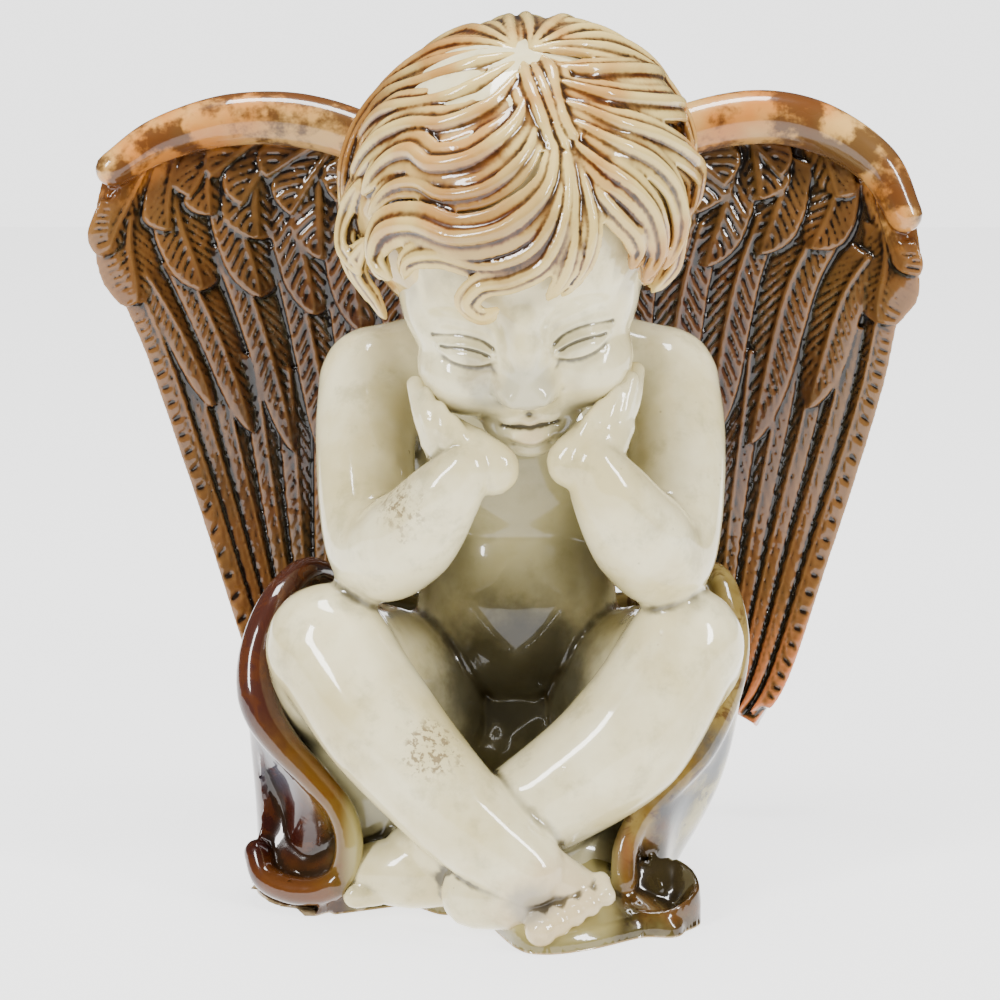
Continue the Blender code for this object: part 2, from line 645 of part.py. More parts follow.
def mark_plain(figure):
    """Marks where faces can be spared: the back and the limbs more than the face, hands, feet and feathers."""
    mesh = figure.data
    count = len(mesh.vertices)
    points = np.empty(count * 3, np.float32)
    mesh.vertices.foreach_get("co", points)
    points = points.reshape(-1, 3)
    normals = np.empty(count * 3, np.float32)
    mesh.vertex_normals.foreach_get("vector", normals)
    facing = -normals.reshape(-1, 3)[:, 1]
    plain = np.ones(count)
    for centre, radius, weight in CARVED:
        near = np.linalg.norm(points / UNIT - np.array(centre), axis=1) < radius
        plain[near & (facing > -0.35)] = weight
    feathered = (np.abs(points[:, 0]) > 45 * UNIT) & (points[:, 1] > 35 * UNIT) & (facing > 0.1)
    plain[feathered] = FEATHERED
    group = figure.vertex_groups.new(name="plain")
    for weight in np.unique(plain):
        group.add(np.flatnonzero(plain == weight).tolist(), float(weight), "REPLACE")


def shared_by_two(mesh):
    """Whether every pair of joined corners has a face on each side and no more."""
    mesh.calc_loop_triangles()
    faces = np.empty(len(mesh.loop_triangles) * 3, np.int32)
    mesh.loop_triangles.foreach_get("vertices", faces)
    faces = faces.reshape(-1, 3)
    pairs = np.sort(np.vstack([faces[:, [0, 1]], faces[:, [1, 2]], faces[:, [2, 0]]]), axis=1)
    return bool((np.unique(pairs, axis=0, return_counts=True)[1] == 2).all())


def thinned(figure):
    """The figure's mesh with few faces. A count at which two surfaces come to share an edge is passed over."""
    thin = figure.modifiers.new("fewer faces", "DECIMATE")
    thin.vertex_group = "plain"
    thin.vertex_group_factor = DETAIL_BIAS
    whole = sum(len(face.vertices) - 2 for face in figure.data.polygons)
    for triangles in range(TRIANGLES, TRIANGLES - 200, -40):
        thin.ratio = triangles / whole
        graph = bpy.context.evaluated_depsgraph_get()
        mesh = bpy.data.meshes.new_from_object(figure.evaluated_get(graph))
        if shared_by_two(mesh):
            break
    figure.modifiers.remove(thin)
    return mesh


def glaze():
    material = bpy.data.materials.new("glazed_ceramic")
    material.use_nodes = True
    shader = material.node_tree.nodes["Principled BSDF"]
    shader.inputs["Base Color"].default_value = GLAZE_COLOUR
    shader.inputs["Roughness"].default_value = GLAZE_ROUGHNESS
    shader.inputs["Metallic"].default_value = 0.0
    return material


def main():
    for old in list(bpy.data.objects):
        bpy.data.objects.remove(old)
    soft = Clay()
    torso(soft)
    limbs(soft)
    head(soft)
    body = soft.pressed("body", BODY_VOXEL, BODY_SOFTENING)
    shape_face(body)
    fine = Clay()
    fine.take(body)
    for make in (feet, hands, hair, wings, cloth):
        make(fine)
    mesh = fine.pressed("figure", FORM_VOXEL, FORM_SOFTENING, CLOSING)
    at_the_table(mesh)
    figure = bpy.data.objects.new("cherub_figurine", mesh)
    bpy.context.scene.collection.objects.link(figure)
    mark_plain(figure)
    figure.data = thinned(figure)
    figure.data.materials.append(glaze())
    figure.data.shade_smooth()
    flat_underside(figure)


if __name__ == "__main__":
    main()
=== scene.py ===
# %% [markdown]
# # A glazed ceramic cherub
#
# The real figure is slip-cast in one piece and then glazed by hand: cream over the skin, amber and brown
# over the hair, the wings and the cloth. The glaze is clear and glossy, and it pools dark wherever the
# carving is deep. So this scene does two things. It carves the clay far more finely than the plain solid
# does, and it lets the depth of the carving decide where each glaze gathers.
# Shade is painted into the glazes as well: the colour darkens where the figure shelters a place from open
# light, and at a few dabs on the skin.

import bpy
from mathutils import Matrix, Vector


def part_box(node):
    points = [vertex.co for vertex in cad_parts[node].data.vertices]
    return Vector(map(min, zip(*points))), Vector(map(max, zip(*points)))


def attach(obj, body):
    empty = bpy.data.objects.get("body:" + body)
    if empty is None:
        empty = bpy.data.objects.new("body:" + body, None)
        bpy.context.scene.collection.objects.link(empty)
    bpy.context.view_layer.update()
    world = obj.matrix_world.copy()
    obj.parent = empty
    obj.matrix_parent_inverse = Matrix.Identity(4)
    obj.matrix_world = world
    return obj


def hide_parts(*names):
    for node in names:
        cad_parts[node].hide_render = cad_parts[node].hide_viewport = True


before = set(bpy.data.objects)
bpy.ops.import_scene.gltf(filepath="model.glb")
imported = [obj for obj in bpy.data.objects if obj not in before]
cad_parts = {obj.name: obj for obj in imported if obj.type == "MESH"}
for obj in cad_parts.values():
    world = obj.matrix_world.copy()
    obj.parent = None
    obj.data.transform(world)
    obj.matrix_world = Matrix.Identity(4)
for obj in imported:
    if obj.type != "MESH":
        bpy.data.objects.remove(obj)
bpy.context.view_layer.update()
CAD_NODE = "cherub_figurine"

# %% Modules and the unit
import math

import bmesh
import bpy
import numpy as np
from mathutils import Euler, Vector
from mathutils.bvhtree import BVHTree
from mathutils.kdtree import KDTree

MM = 0.001

# %% [markdown]
# ## Clay
#
# A sculptor builds a figure from lumps and rolls of clay and presses them into one. The same works in
# Blender: closed lumps may overlap as they like, and a voxel Remesh turns the heap into a single skin,
# which a few rounds of smoothing soften as a wet finger would. Everything below is drawn in millimetres.

# %% Curves through points


def through(points, count):
    """Points on a smooth curve through the given ones (Catmull-Rom), evenly shared between them."""
    given = np.array(points, float)
    padded = np.vstack([2 * given[0] - given[1], given, 2 * given[-1] - given[-2]])
    places = np.linspace(0, len(given) - 1, count)
    start = np.minimum(places.astype(int), len(given) - 2)
    t = (places - start)[:, None]
    a, b, c, d = (padded[start + i] for i in range(4))
    return 0.5 * (2 * b + (c - a) * t + (2 * a - 5 * b + 4 * c - d) * t**2 + (3 * b - a - 3 * c + d) * t**3)


def unit(vectors):
    return vectors / np.maximum(np.linalg.norm(vectors, axis=-1, keepdims=True), 1e-12)


def points_of(mesh):
    points = np.empty(len(mesh.vertices) * 3, np.float32)
    mesh.vertices.foreach_get("co", points)
    return points.reshape(-1, 3).astype(float)


def move_points(mesh, points):
    mesh.vertices.foreach_set("co", points.astype(np.float32).ravel())
    mesh.update()


def normals_of(mesh):
    normals = np.empty(len(mesh.vertices) * 3, np.float32)
    mesh.vertex_normals.foreach_get("vector", normals)
    return normals.reshape(-1, 3).astype(float)


# %% Lumps, rolls and slabs of clay


class Clay:
    """Closed lumps of clay, kept until they are pressed into one."""

    def __init__(self):
        self.points = []
        self.faces = []
        self.count = 0

    def add(self, points, faces):
        self.points.append(np.asarray(points, float))
        self.faces += [[i + self.count for i in face] for face in faces]
        self.count += len(points)

    def take(self, mesh):
        """Adds a finished mesh, in metres, as one more lump."""
        self.add(points_of(mesh) / MM, [list(face.vertices) for face in mesh.polygons])

    def ball(self, centre, radii):
        """An ellipsoid."""
        shape = bmesh.new()
        bmesh.ops.create_icosphere(shape, subdivisions=4, radius=1)
        points = np.array([tuple(v.co) for v in shape.verts]) * np.array(radii, float)
        faces = [[v.index for v in face.verts] for face in shape.faces]
        shape.free()
        self.add(points + np.array(centre, float), faces)

    def roll(self, path, widths, heights=None, outward=(0, -0.3, 1), steps=10, sides=24):
        """A roll along a path, with round ends.

        Widths and heights are half sizes, and outward is where the heights point.
        """
        heights = widths if heights is None else heights
        count = steps * (len(path) - 1) + 1
        line = through(path, count)
        spread = np.linspace(0, 1, count)
        across = np.interp(spread, np.linspace(0, 1, len(widths)), widths)
        up = np.interp(spread, np.linspace(0, 1, len(heights)), heights)
        along = unit(np.gradient(line, axis=0))
        outward = through(np.broadcast_to(np.array(outward, float), (len(path), 3)), count)
        side = unit(np.cross(along, outward))
        top = unit(np.cross(side, along))
        ends = np.radians([75, 50, 25])
        rings = [(line[0] - along[0] * across[0] * math.sin(a), 0, math.cos(a)) for a in ends]
        rings += [(line[i], i, 1) for i in range(count)]
        end, reach = line[-1], along[-1] * across[-1]
        rings += [(end + reach * math.sin(a), count - 1, math.cos(a)) for a in ends[::-1]]
        turn = np.linspace(0, 2 * math.pi, sides, endpoint=False)[:, None]
        points = [line[0] - along[0] * across[0]]
        for centre, i, size in rings:
            ring = np.cos(turn) * across[i] * side[i] + np.sin(turn) * up[i] * top[i]
            points += list(centre + size * ring)
        points.append(end + reach)
        last = len(points) - 1
        around = [(j, (j + 1) % sides) for j in range(sides)]
        faces = [[0, 1 + k, 1 + j] for j, k in around]
        for row in range(1, 1 + (len(rings) - 1) * sides, sides):
            faces += [[row + j, row + k, row + sides + k, row + sides + j] for j, k in around]
        row = 1 + (len(rings) - 1) * sides
        faces += [[last, row + j, row + k] for j, k in around]
        self.add(points, faces)

    def slab(self, front, back):
        """A closed sheet between two grids of points of one size."""
        rows, columns = front.shape[:2]
        half = rows * columns
        faces = []
        for i in range(rows - 1):
            for j in range(columns - 1):
                a = i * columns + j
                quad = [a, a + 1, a + columns + 1, a + columns]
                faces.append(quad)
                faces.append([k + half for k in quad[::-1]])
        edge = list(range(columns))
        edge += [i * columns + columns - 1 for i in range(1, rows)]
        edge += [(rows - 1) * columns + j for j in range(columns - 2, -1, -1)]
        edge += [i * columns for i in range(rows - 2, 0, -1)]
        for k, a in enumerate(edge):
            b = edge[(k + 1) % len(edge)]
            faces.append([b, a, a + half, b + half])
        self.add(np.vstack([front.reshape(-1, 3), back.reshape(-1, 3)]), faces)

    def pressed(self, name, voxel, softening):
        """One mesh of all the lumps, in metres: remeshed on a grid of the voxel's size and softened."""
        mesh = bpy.data.meshes.new(name)
        mesh.from_pydata((np.vstack(self.points) * MM).tolist(), [], self.faces)
        shape = bmesh.new()
        shape.from_mesh(mesh)
        bmesh.ops.recalc_face_normals(shape, faces=shape.faces)
        shape.to_mesh(mesh)
        shape.free()
        lump = bpy.data.objects.new(name, mesh)
        bpy.context.scene.collection.objects.link(lump)
        remesh = lump.modifiers.new("press", "REMESH")
        remesh.mode = "VOXEL"
        remesh.voxel_size = voxel * MM
        soften = lump.modifiers.new("soften", "SMOOTH")
        soften.factor = 0.5
        soften.iterations = softening
        made = taken(lump)
        made.name = name
        print(f"{name}: {len(made.polygons)} faces pressed")
        return made


def taken(lump):
    """The mesh that an object's modifiers make. The object itself goes."""
    graph = bpy.context.evaluated_depsgraph_get()
    made = bpy.data.meshes.new_from_object(lump.evaluated_get(graph))
    bpy.data.objects.remove(lump)
    return made


# %% [markdown]
# ## Sums written as sums
#
# Both the shapes and the glazes need a good deal of arithmetic in node trees. A node tree is hard to read
# as a list of links, so a wire here stands for one output of a node, and + - * / between wires add the
# Math nodes. The same few lines serve Geometry Nodes and materials, because both have the Math node.

# %% Wires


class Wire:
    """One output of a node. Arithmetic on wires adds Math nodes to their tree."""

    def __init__(self, tree, socket):
        self.tree = tree
        self.socket = socket

    def maths(self, operation, *others, first=None):
        values = [self if first is None else first, *others]
        return node(self.tree, "ShaderNodeMath", {"operation": operation}, dict(enumerate(values)))

    def __add__(self, other):
        return self.maths("ADD", other)

    def __radd__(self, other):
        return self.maths("ADD", other)

    def __sub__(self, other):
        return self.maths("SUBTRACT", other)

    def __rsub__(self, other):
        return self.maths("SUBTRACT", self, first=other)

    def __mul__(self, other):
        return self.maths("MULTIPLY", other)

    def __rmul__(self, other):
        return self.maths("MULTIPLY", other)

    def __truediv__(self, other):
        return self.maths("DIVIDE", other)

    def __pow__(self, other):
        return self.maths("POWER", other)

    def __abs__(self):
        return self.maths("ABSOLUTE")

    def sine(self):
        return self.maths("SINE")

    def most(self, other):
        return self.maths("MAXIMUM", other)

    def least(self, other):
        return self.maths("MINIMUM", other)

    def rising(self, low, high):
        """0 below low and 1 above high, with a soft step between."""
        settings = {"interpolation_type": "SMOOTHSTEP", "clamp": True}
        return node(self.tree, "ShaderNodeMapRange", settings, {0: self, 1: low, 2: high, 3: 0.0, 4: 1.0})


def node(tree, kind, settings=None, values=None, output=0):
    """Adds a node, with settings and with values on its sockets, and gives one of its outputs."""
    made = tree.nodes.new(kind)
    for name, value in (settings or {}).items():
        setattr(made, name, value)
    for key, value in (values or {}).items():
        if isinstance(value, Wire):
            tree.links.new(value.socket, made.inputs[key])
        elif value is not None:
            made.inputs[key].default_value = value
    return Wire(tree, made.outputs[output])


def parts_of(vector):
    """The three numbers of a wire that carries a vector."""
    parts = node(vector.tree, "ShaderNodeSeparateXYZ", {}, {0: vector})
    return [Wire(vector.tree, socket) for socket in parts.socket.node.outputs]


# %% A Geometry Nodes tree with named sizes


def geometry_tree(name, sizes):
    """A tree with one number socket for each named size: the tree, its geometry and its sizes."""
    tree = bpy.data.node_groups.new(name, "GeometryNodeTree")
    tree.interface.new_socket("Geometry", in_out="INPUT", socket_type="NodeSocketGeometry")
    tree.interface.new_socket("Geometry", in_out="OUTPUT", socket_type="NodeSocketGeometry")
    for label, value in sizes.items():
        size = tree.interface.new_socket(label, in_out="INPUT", socket_type="NodeSocketFloat")
        size.default_value = value
    inputs = tree.nodes.new("NodeGroupInput")
    wires = {label: Wire(tree, inputs.outputs[label]) for label in sizes}
    return tree, Wire(tree, inputs.outputs["Geometry"]), wires


def finish_tree(tree, made, material):
    """Ends a tree in Realize Instances and Set Material, because an export drops instances."""
    made = node(tree, "GeometryNodeRealizeInstances", {}, {0: made})
    made = node(tree, "GeometryNodeSetMaterial", {}, {0: made, 2: material})
    tree.links.new(made.socket, tree.nodes.new("NodeGroupOutput").inputs[0])


def grown(name, seed_mesh, tree, sizes):
    """The plain mesh that a tree grows from a mesh, with the given sizes."""
    seed = bpy.data.objects.new(name, seed_mesh)
    bpy.context.scene.collection.objects.link(seed)
    grow = seed.modifiers.new(name, "NODES")
    grow.node_group = tree
    for item in tree.interface.items_tree:
        if item.item_type == "SOCKET" and item.in_out == "INPUT" and item.name in sizes:
            grow[item.identifier] = float(sizes[item.name])
    return taken(seed)


# %% [markdown]
# ## Body
#
# Torso, arms, thighs and shins are limbs through their joints: each joint is a place and a radius. They
# are pressed coarsely and softened a lot, so that a shoulder flows into an arm as fired clay does. The
# feet and the hands come after, pressed finely, so that the toes and fingers keep their shape.

# %% Torso, arms and legs

ARMS = (
    (((-42, 2, 159), 18.5), ((-44.5, -18, 140), 16), ((-40.5, -41, 114), 15.5), ((-29, -57, 122), 15.5),
     ((-19, -65, 136), 12), ((-12, -67, 145), 9)),
    (((51, 2, 159), 18.5), ((54.5, -18, 140), 16), ((50.5, -41, 113), 16), ((41, -56, 122), 16),
     ((32, -64, 137), 12.5), ((27, -66, 146), 9.5)),
)
THIGHS = (
    (((-20, 8, 42), 29), ((-40, -14, 60), 27), ((-50, -28, 68), 26), ((-56, -44, 82), 20)),
    (((30, 8, 42), 29), ((44, -14, 60), 27), ((52, -28, 68), 25), ((57, -44, 83), 19)),
)
FRONT_SHIN = (((-56, -45, 84), 19.5), ((-38, -62, 62), 19), ((-14, -75, 38), 16), ((7, -82, 22), 12.5))
BACK_SHIN = (
    ((57, -45, 84), 18.5), ((38, -57, 57), 20.5), ((12, -62, 38), 17), ((-12, -62, 25), 14),
    ((-28, -58, 18), 11.5),
)
MOUNDS = (
    ((-44, -26, 28), (27, 26, 34)), ((40, -24, 27), (21, 27, 33)), ((6, -42, 12), (44, 26, 22)),
    ((0, 14, 30), (54, 38, 42)),
)


def limb(clay, joints):
    clay.roll([point for point, _ in joints], [radius for _, radius in joints], sides=40)


def torso(clay):
    """Pelvis, belly, chest, the shoulders across and the neck."""
    clay.ball((4, 12, 40), (45, 34, 40))
    clay.ball((4, 1, 84), (33, 26, 38))
    clay.ball((4, 6, 134), (38, 27, 42))
    clay.roll([(-38, 4, 160), (4, 9, 166), (47, 4, 160)], [17.5, 20, 17.5], sides=40)
    clay.roll([(4, 4, 168), (4, -14, 196)], [20, 20], sides=40)


soft = Clay()
torso(soft)
for centre, radii in MOUNDS:
    soft.ball(centre, radii)
for joints in (*ARMS, *THIGHS, FRONT_SHIN, BACK_SHIN):
    limb(soft, joints)
trunk = soft.pressed("trunk", voxel=1.25, softening=26)

# %% Feet and toes

TOE_RADIUS = 4.0


def foot(clay):
    """The foot in front, its toes to the viewer's right, and the one that shows behind it on the left."""
    limb(clay, (((-9, -75, 12), 11), ((4, -80, 13), 11), ((13, -82, 10), 8)))
    limb(clay, (((3, -79, 23), 12), ((12, -80, 19), 10.5), ((21, -79, 15), 8)))
    limb(clay, (((-14, -60, 15), 12), ((-30, -60, 14), 12), ((-40, -58, 13), 10)))
    for i in range(5):
        share = i / 4
        root = np.array((9.5 + 20 * share, -84 + 5 * share, 9 + 8.5 * share))
        tip = root + np.array((1.5, -9 + 2.5 * share, -2.5))
        size = TOE_RADIUS * (1.25 - 0.45 * share)
        clay.roll([root, (root + tip) / 2 + (0, 0, 0.6), tip], [size, size * 0.86, size])
    for i in range(4):
        share = i / 3
        root = np.array((-40, -64 + 14 * share, 8 + 8 * share))
        clay.roll([root, root + (-7, -1, -0.5)], [TOE_RADIUS, TOE_RADIUS])


# %% Hands and fingers

FINGER_RADIUS = 3.3
FINGERS = (
    ((-20.5, -60, 148), (-24.5, -58, 159), (-27.5, -52, 168.5)),
    ((-18.5, -63, 149), (-22, -62, 158.5), (-24.2, -56.5, 166)),
    ((-15, -65, 149), (-18, -65, 157), (-20.3, -61, 162.5)),
    ((-11, -66, 149), (-14, -66, 155), (-16.5, -63, 159)),
    ((30, -62, 151), (35, -59, 161), (38.3, -53.5, 170.5)),
    ((33, -58, 153), (38, -54, 163), (40.3, -47, 172)),
    ((26, -64, 151), (30.5, -62, 160), (34.5, -57, 167)),
    ((22, -65, 151), (26, -64, 158), (30, -60, 163)),
)
PALMS = (
    (((-4, -65, 145), (-12, -64, 149), (-19, -60, 154)), (8.5, 9.5, 7.5), (6.5, 6.5, 5.5)),
    (((21, -65, 147), (28, -63, 152), (33, -58, 157)), (8.5, 9.5, 7), (6.5, 6.5, 5.5)),
)


def hands(clay):
    for palm, widths, heights in PALMS:
        clay.roll(palm, widths, heights, outward=(0, -1, 0.2))
    for finger in FINGERS:
        clay.roll(finger, [FINGER_RADIUS * 1.1, FINGER_RADIUS * 1.05, FINGER_RADIUS * 0.85])


fine = Clay()
fine.take(trunk)
foot(fine)
hands(fine)
body = fine.pressed("body", voxel=0.75, softening=3)

# %% [markdown]
# ## Head
#
# The head is modelled upright, with the face towards -Y and its own centre as the origin, because faces
# are easiest to judge straight on. A skull, cheeks and a chin are pressed and softened first. The nose,
# the eyeballs under their lids and the lips are laid on that, pressed again more finely, and the last
# shallow lines are cut in. Only then does the head lean forward and to the side.

# %% The head's place

HEAD_CENTRE = np.array((3, -30, 216))
HEAD_PITCH = 20
HEAD_ROLL = 4.5
HEAD_TURN = np.array(Euler((math.radians(HEAD_PITCH), math.radians(-HEAD_ROLL), 0)).to_matrix())


def seat_head(mesh):
    """Leans a mesh that was modelled on the upright head, in metres, and sets it on the neck."""
    move_points(mesh, points_of(mesh) @ HEAD_TURN.T + HEAD_CENTRE * MM)


# %% Skull, cheeks and jaw

skull = Clay()
skull.ball((1.5, 5, 8), (47, 55, 49))
skull.ball((0, -17, -12), (37.5, 32, 36))
skull.ball((0, -20, -29), (32.5, 28.5, 30))
skull.ball((0, -35, -50), (15, 13, 11))
for side in (-1, 1):
    skull.ball((16.5 * side, -28, -33), (17, 18, 16))
skull_mesh = skull.pressed("skull", voxel=0.9, softening=18)

# %% Strokes of the thumb

# A thumb's stroke runs along a line on the face, across and up from the head's centre, with how wide it
# is, how far it raises the clay and a power: a high one leaves a flatter top and steeper sides. It is
# made on both sides, unless it lies on the middle line.
BROAD_STROKES = (
    (((11, -14), (23, -13)), 7.0, -4.6, 2),
    (((9, -4), (17, -1.5), (27, -5)), 5.0, 1.6, 2),
    (((0, -6), (0, -8)), 8, 1.5, 2),
    (((0, -9), (0, -19)), 6.4, 3.8, 3),
    (((0, -19), (0, -30)), 8.0, 5.6, 3),
    (((-2.5, -30.2), (2.5, -30.2)), 5.8, 4.4, 3),
    (((7.2, -31.6), (7.6, -30.6)), 3.6, 2.8, 3),
    (((-5, -41), (5, -41)), 8.5, 2.4, 2),
    (((0, -56), (0, -57)), 7, 2.2, 2),
    (((14, -19), (21, -18.5)), 5.0, 2.8, 3),
    (((22, -33), (26, -36)), 11, 1.8, 2),
)
FINE_STROKES = (
    (((9.5, -18.4), (13, -16.5), (17.5, -15.8), (22, -16.1), (27, -17.8)), 1.05, -1.3, 2),
    (((9.5, -19.8), (13, -18.0), (17.5, -17.3), (22, -17.6), (26, -18.9)), 0.95, 1.0, 2),
    (((10, -20.6), (13.5, -19.4), (17.5, -18.9), (21.5, -19.1), (25, -19.9)), 0.85, -1.3, 2),
    (((13.5, -20.9), (17.5, -20.8), (21.5, -20.6)), 1.6, 0.7, 2),
    (((9.2, -20.8), (13, -22.6), (17.5, -23.2), (22, -22.4), (26, -20.2)), 0.95, 1.2, 2),
    (((10.5, -24.2), (17.5, -25.6), (24, -24)), 1.7, -0.9, 2),
    (((9.2, -26.0), (10.8, -29.5), (10.4, -33.0)), 1.4, -1.2, 2),
    (((3.4, -36.0), (4.8, -35.6)), 1.6, -2.0, 2),
    (((0, -37.5), (0, -40.5)), 1.8, -1.1, 2),
    (((-7.6, -44.4), (-3.2, -42.9), (0, -43.6), (3.2, -42.9), (7.6, -44.4)), 1.5, 1.5, 2),
    (((-7.0, -46.2), (-3, -46.2), (0, -46.5), (3, -46.2), (7.0, -46.2)), 1.15, -2.6, 2),
    (((-5.2, -48.6), (0, -49.8), (5.2, -48.6)), 1.8, 1.8, 2),
    (((-5, -52.8), (0, -53.4), (5, -52.8)), 2.2, -1.6, 2),
    (((8.4, -46.4), (8.6, -46.8)), 1.6, -1.2, 2),
)


# Strokes fade out round the cheeks: the depths on the head where they begin and are whole.
STROKES_BEGIN, STROKES_WHOLE = -14, -26


def stroke_face(mesh, strokes):
    """Raises or lowers the front of the upright head along the strokes."""
    points = points_of(mesh) / MM
    facing = np.clip((STROKES_BEGIN - points[:, 1]) / (STROKES_BEGIN - STROKES_WHOLE), 0, 1)
    raised = np.zeros(len(points))
    for path, width, height, power in strokes:
        line = through([(x, 0, z) for x, z in path], 8 * len(path))
        middle = all(abs(point[0]) < 1e-9 for point in path) or path[0][0] < 0
        for side in (1,) if middle else (-1, 1):
            gaps = np.full(len(points), np.inf)
            for x, _, z in line:
                gaps = np.minimum(gaps, np.hypot(points[:, 0] - side * x, points[:, 2] - z))
            raised += height * np.exp(-((gaps / width) ** power))
    move_points(mesh, (points - np.stack([0 * raised, raised * facing, 0 * raised], -1)) * MM)


face = Clay()
face.take(skull_mesh)
finer = face.pressed("head", voxel=0.55, softening=2)
stroke_face(finer, BROAD_STROKES)
face = Clay()
face.take(finer)
head = face.pressed("head", voxel=0.55, softening=4)
stroke_face(head, FINE_STROKES)
seat_head(head)

# %% [markdown]
# ## Hair
#
# Locks part at the crown and sweep to both sides over the brow, where they end in curls. A lock is laid by
# directions on the head, azimuth and elevation in degrees, and a Geometry Nodes tree sweeps one ridged
# profile along all of them with Curve to Mesh. Pressing joins them to a cap over the skull.

# %% Directions on the head

HAIR_CENTRE = np.array((1, 5, 5))
HAIR_RADII = np.array((52, 58, 48.5))
HAIR_LEAN = 0.12


def heading(azimuth, elevation):
    """A direction from the head's middle. Azimuth 0 is the face, and grows to the viewer's right."""
    a, e = np.radians(azimuth), np.radians(elevation)
    return np.stack([np.cos(e) * np.sin(a), -np.cos(e) * np.cos(a), np.sin(e)], -1)


def on_hair(out, lift):
    """Points in the given directions on the upright head, lifted off the skull by millimetres."""
    local = HAIR_CENTRE + out * (HAIR_RADII + np.expand_dims(lift, -1))
    local[..., 0] += HAIR_LEAN * out[..., 2] * HAIR_RADII[2]
    return local


# %% Locks in front, laid one by one

# Each lock is its directions from root to tip, its half width, and how high it starts and ends above
# the skull.
FRONT_LOCKS = (
    (((0, 86), (-62, 74), (-86, 58), (-100, 42), (-108, 24)), 7.6, 0.8, 1.0),
    (((-6, 82), (-44, 66), (-66, 54), (-86, 41), (-96, 22)), 7.6, 0.8, 1.5),
    (((0, 78), (-24, 62), (-44, 52), (-64, 45), (-78, 31), (-86, 14)), 7.4, 1.0, 1.5),
    (((6, 72), (-6, 56), (-22, 44), (-38, 39), (-52, 40), (-64, 32), (-70, 18)), 7.4, 1.2, 2.2),
    (((10, 62), (0, 46), (-14, 35), (-30, 31), (-44, 32), (-56, 26), (-62, 14)), 5.6, 1.0, 1.5),
    (((15, 50), (8, 34), (-6, 23), (-22, 19), (-38, 20), (-50, 14), (-52, 4), (-44, -1)), 7.4, 1.2, 3.0),
    (((17, 46), (11, 28), (2, 15), (-12, 10), (-28, 12), (-38, 8), (-40, 0)), 5.2, 0.5, 2.0),
    (((18, 44), (14, 26), (7, 11), (-3, 5), (-13, 3), (-17, -3), (-12, -8), (-7, -5)), 4.6, 1.5, 3.0),
    (((19, 46), (18, 30), (16, 16), (13, 5), (8, -5)), 4.0, 0.5, 2.0),
    (((21, 48), (23, 32), (23, 18), (19, 5), (13, -5)), 4.0, 0.5, 1.2),
    (((21, 46), (27, 30), (33, 19), (39, 10), (42, 2), (38, -3)), 5.2, 0.0, 1.0),
    (((20, 50), (31, 36), (41, 24), (48, 11), (50, -2), (43, -9)), 6.0, 1.0, 2.5),
    (((22, 56), (40, 41), (54, 28), (62, 14), (62, 0), (54, -11)), 6.4, 1.0, 2.5),
    (((24, 62), (46, 46), (64, 33), (78, 18), (88, 4), (86, -10)), 6.8, 1.0, 3.0),
    (((24, 70), (52, 56), (76, 42), (94, 29), (106, 18)), 7.0, 1.0, 2.5),
    (((24, 78), (62, 66), (90, 50), (108, 35), (120, 20)), 7.2, 0.8, 1.5),
    (((-20, 88), (0, 76), (6, 64), (10, 54), (13, 44)), 6.0, 0.8, 0.6),
    (((20, 86), (14, 74), (15, 62), (17, 52), (19, 44)), 5.4, 0.8, 0.4),
    (((60, 84), (30, 74), (22, 64), (21, 54), (24, 46)), 6.0, 0.8, 0.6),
    (((34, 20), (42, 8), (48, -4), (48, -15)), 5.0, -0.5, 1.0),
    (((66, 8), (72, -6), (70, -18), (61, -27)), 5.4, 0.5, 2.0),
    (((-76, 20), (-82, 6), (-78, -6), (-67, -12)), 5.8, 0.5, 2.0),
    (((-92, 12), (-92, -6), (-84, -20), (-73, -31)), 5.6, 0.5, 1.5),
    (((-64, 4), (-72, -10), (-70, -22), (-63, -33)), 4.6, 0.0, 0.5),
    (((-108, 26), (-112, 6), (-104, -14), (-96, -30)), 6.4, 0.5, 1.0),
    (((100, 22), (104, 4), (98, -14), (92, -30)), 6.4, 0.5, 1.0),
    (((88, -4), (84, -16), (78, -26), (72, -33)), 5.6, 0.5, 1.0),
)

# %% Locks at the back, laid by rule

BACK_LOCKS = 9
BACK_LOCK_WIDTH = 6.4
BEHIND_THE_EAR = 104
ROUND_THE_BACK = 74
NAPE = -42
LAYER_STEP = 26


def back_locks():
    """Two layers on each side that fall from the crown to the nape."""
    for side in (-1, 1):
        for i in range(BACK_LOCKS):
            share = i / (BACK_LOCKS - 1)
            azimuth = side * (BEHIND_THE_EAR + ROUND_THE_BACK * share)
            sway = 5 * math.sin(2.3 * i + side)
            for layer in (0, 1):
                low = NAPE + 6 * math.sin(1.9 * i) + LAYER_STEP * layer
                crown = (side * 40, 86)
                bends = ((azimuth - sway, 62), (azimuth + sway, 30), (azimuth - sway, 8 * layer))
                lift = 0.5 + 1.5 * layer
                yield (crown, *bends, (azimuth, low)), BACK_LOCK_WIDTH, lift, lift


# %% The tree that sweeps a ridged profile along every lock

clay_material = bpy.data.materials.new("clay")
LOCK_SIZES = {"Flatness": 0.66, "Strands": 5, "Groove": 0.34}


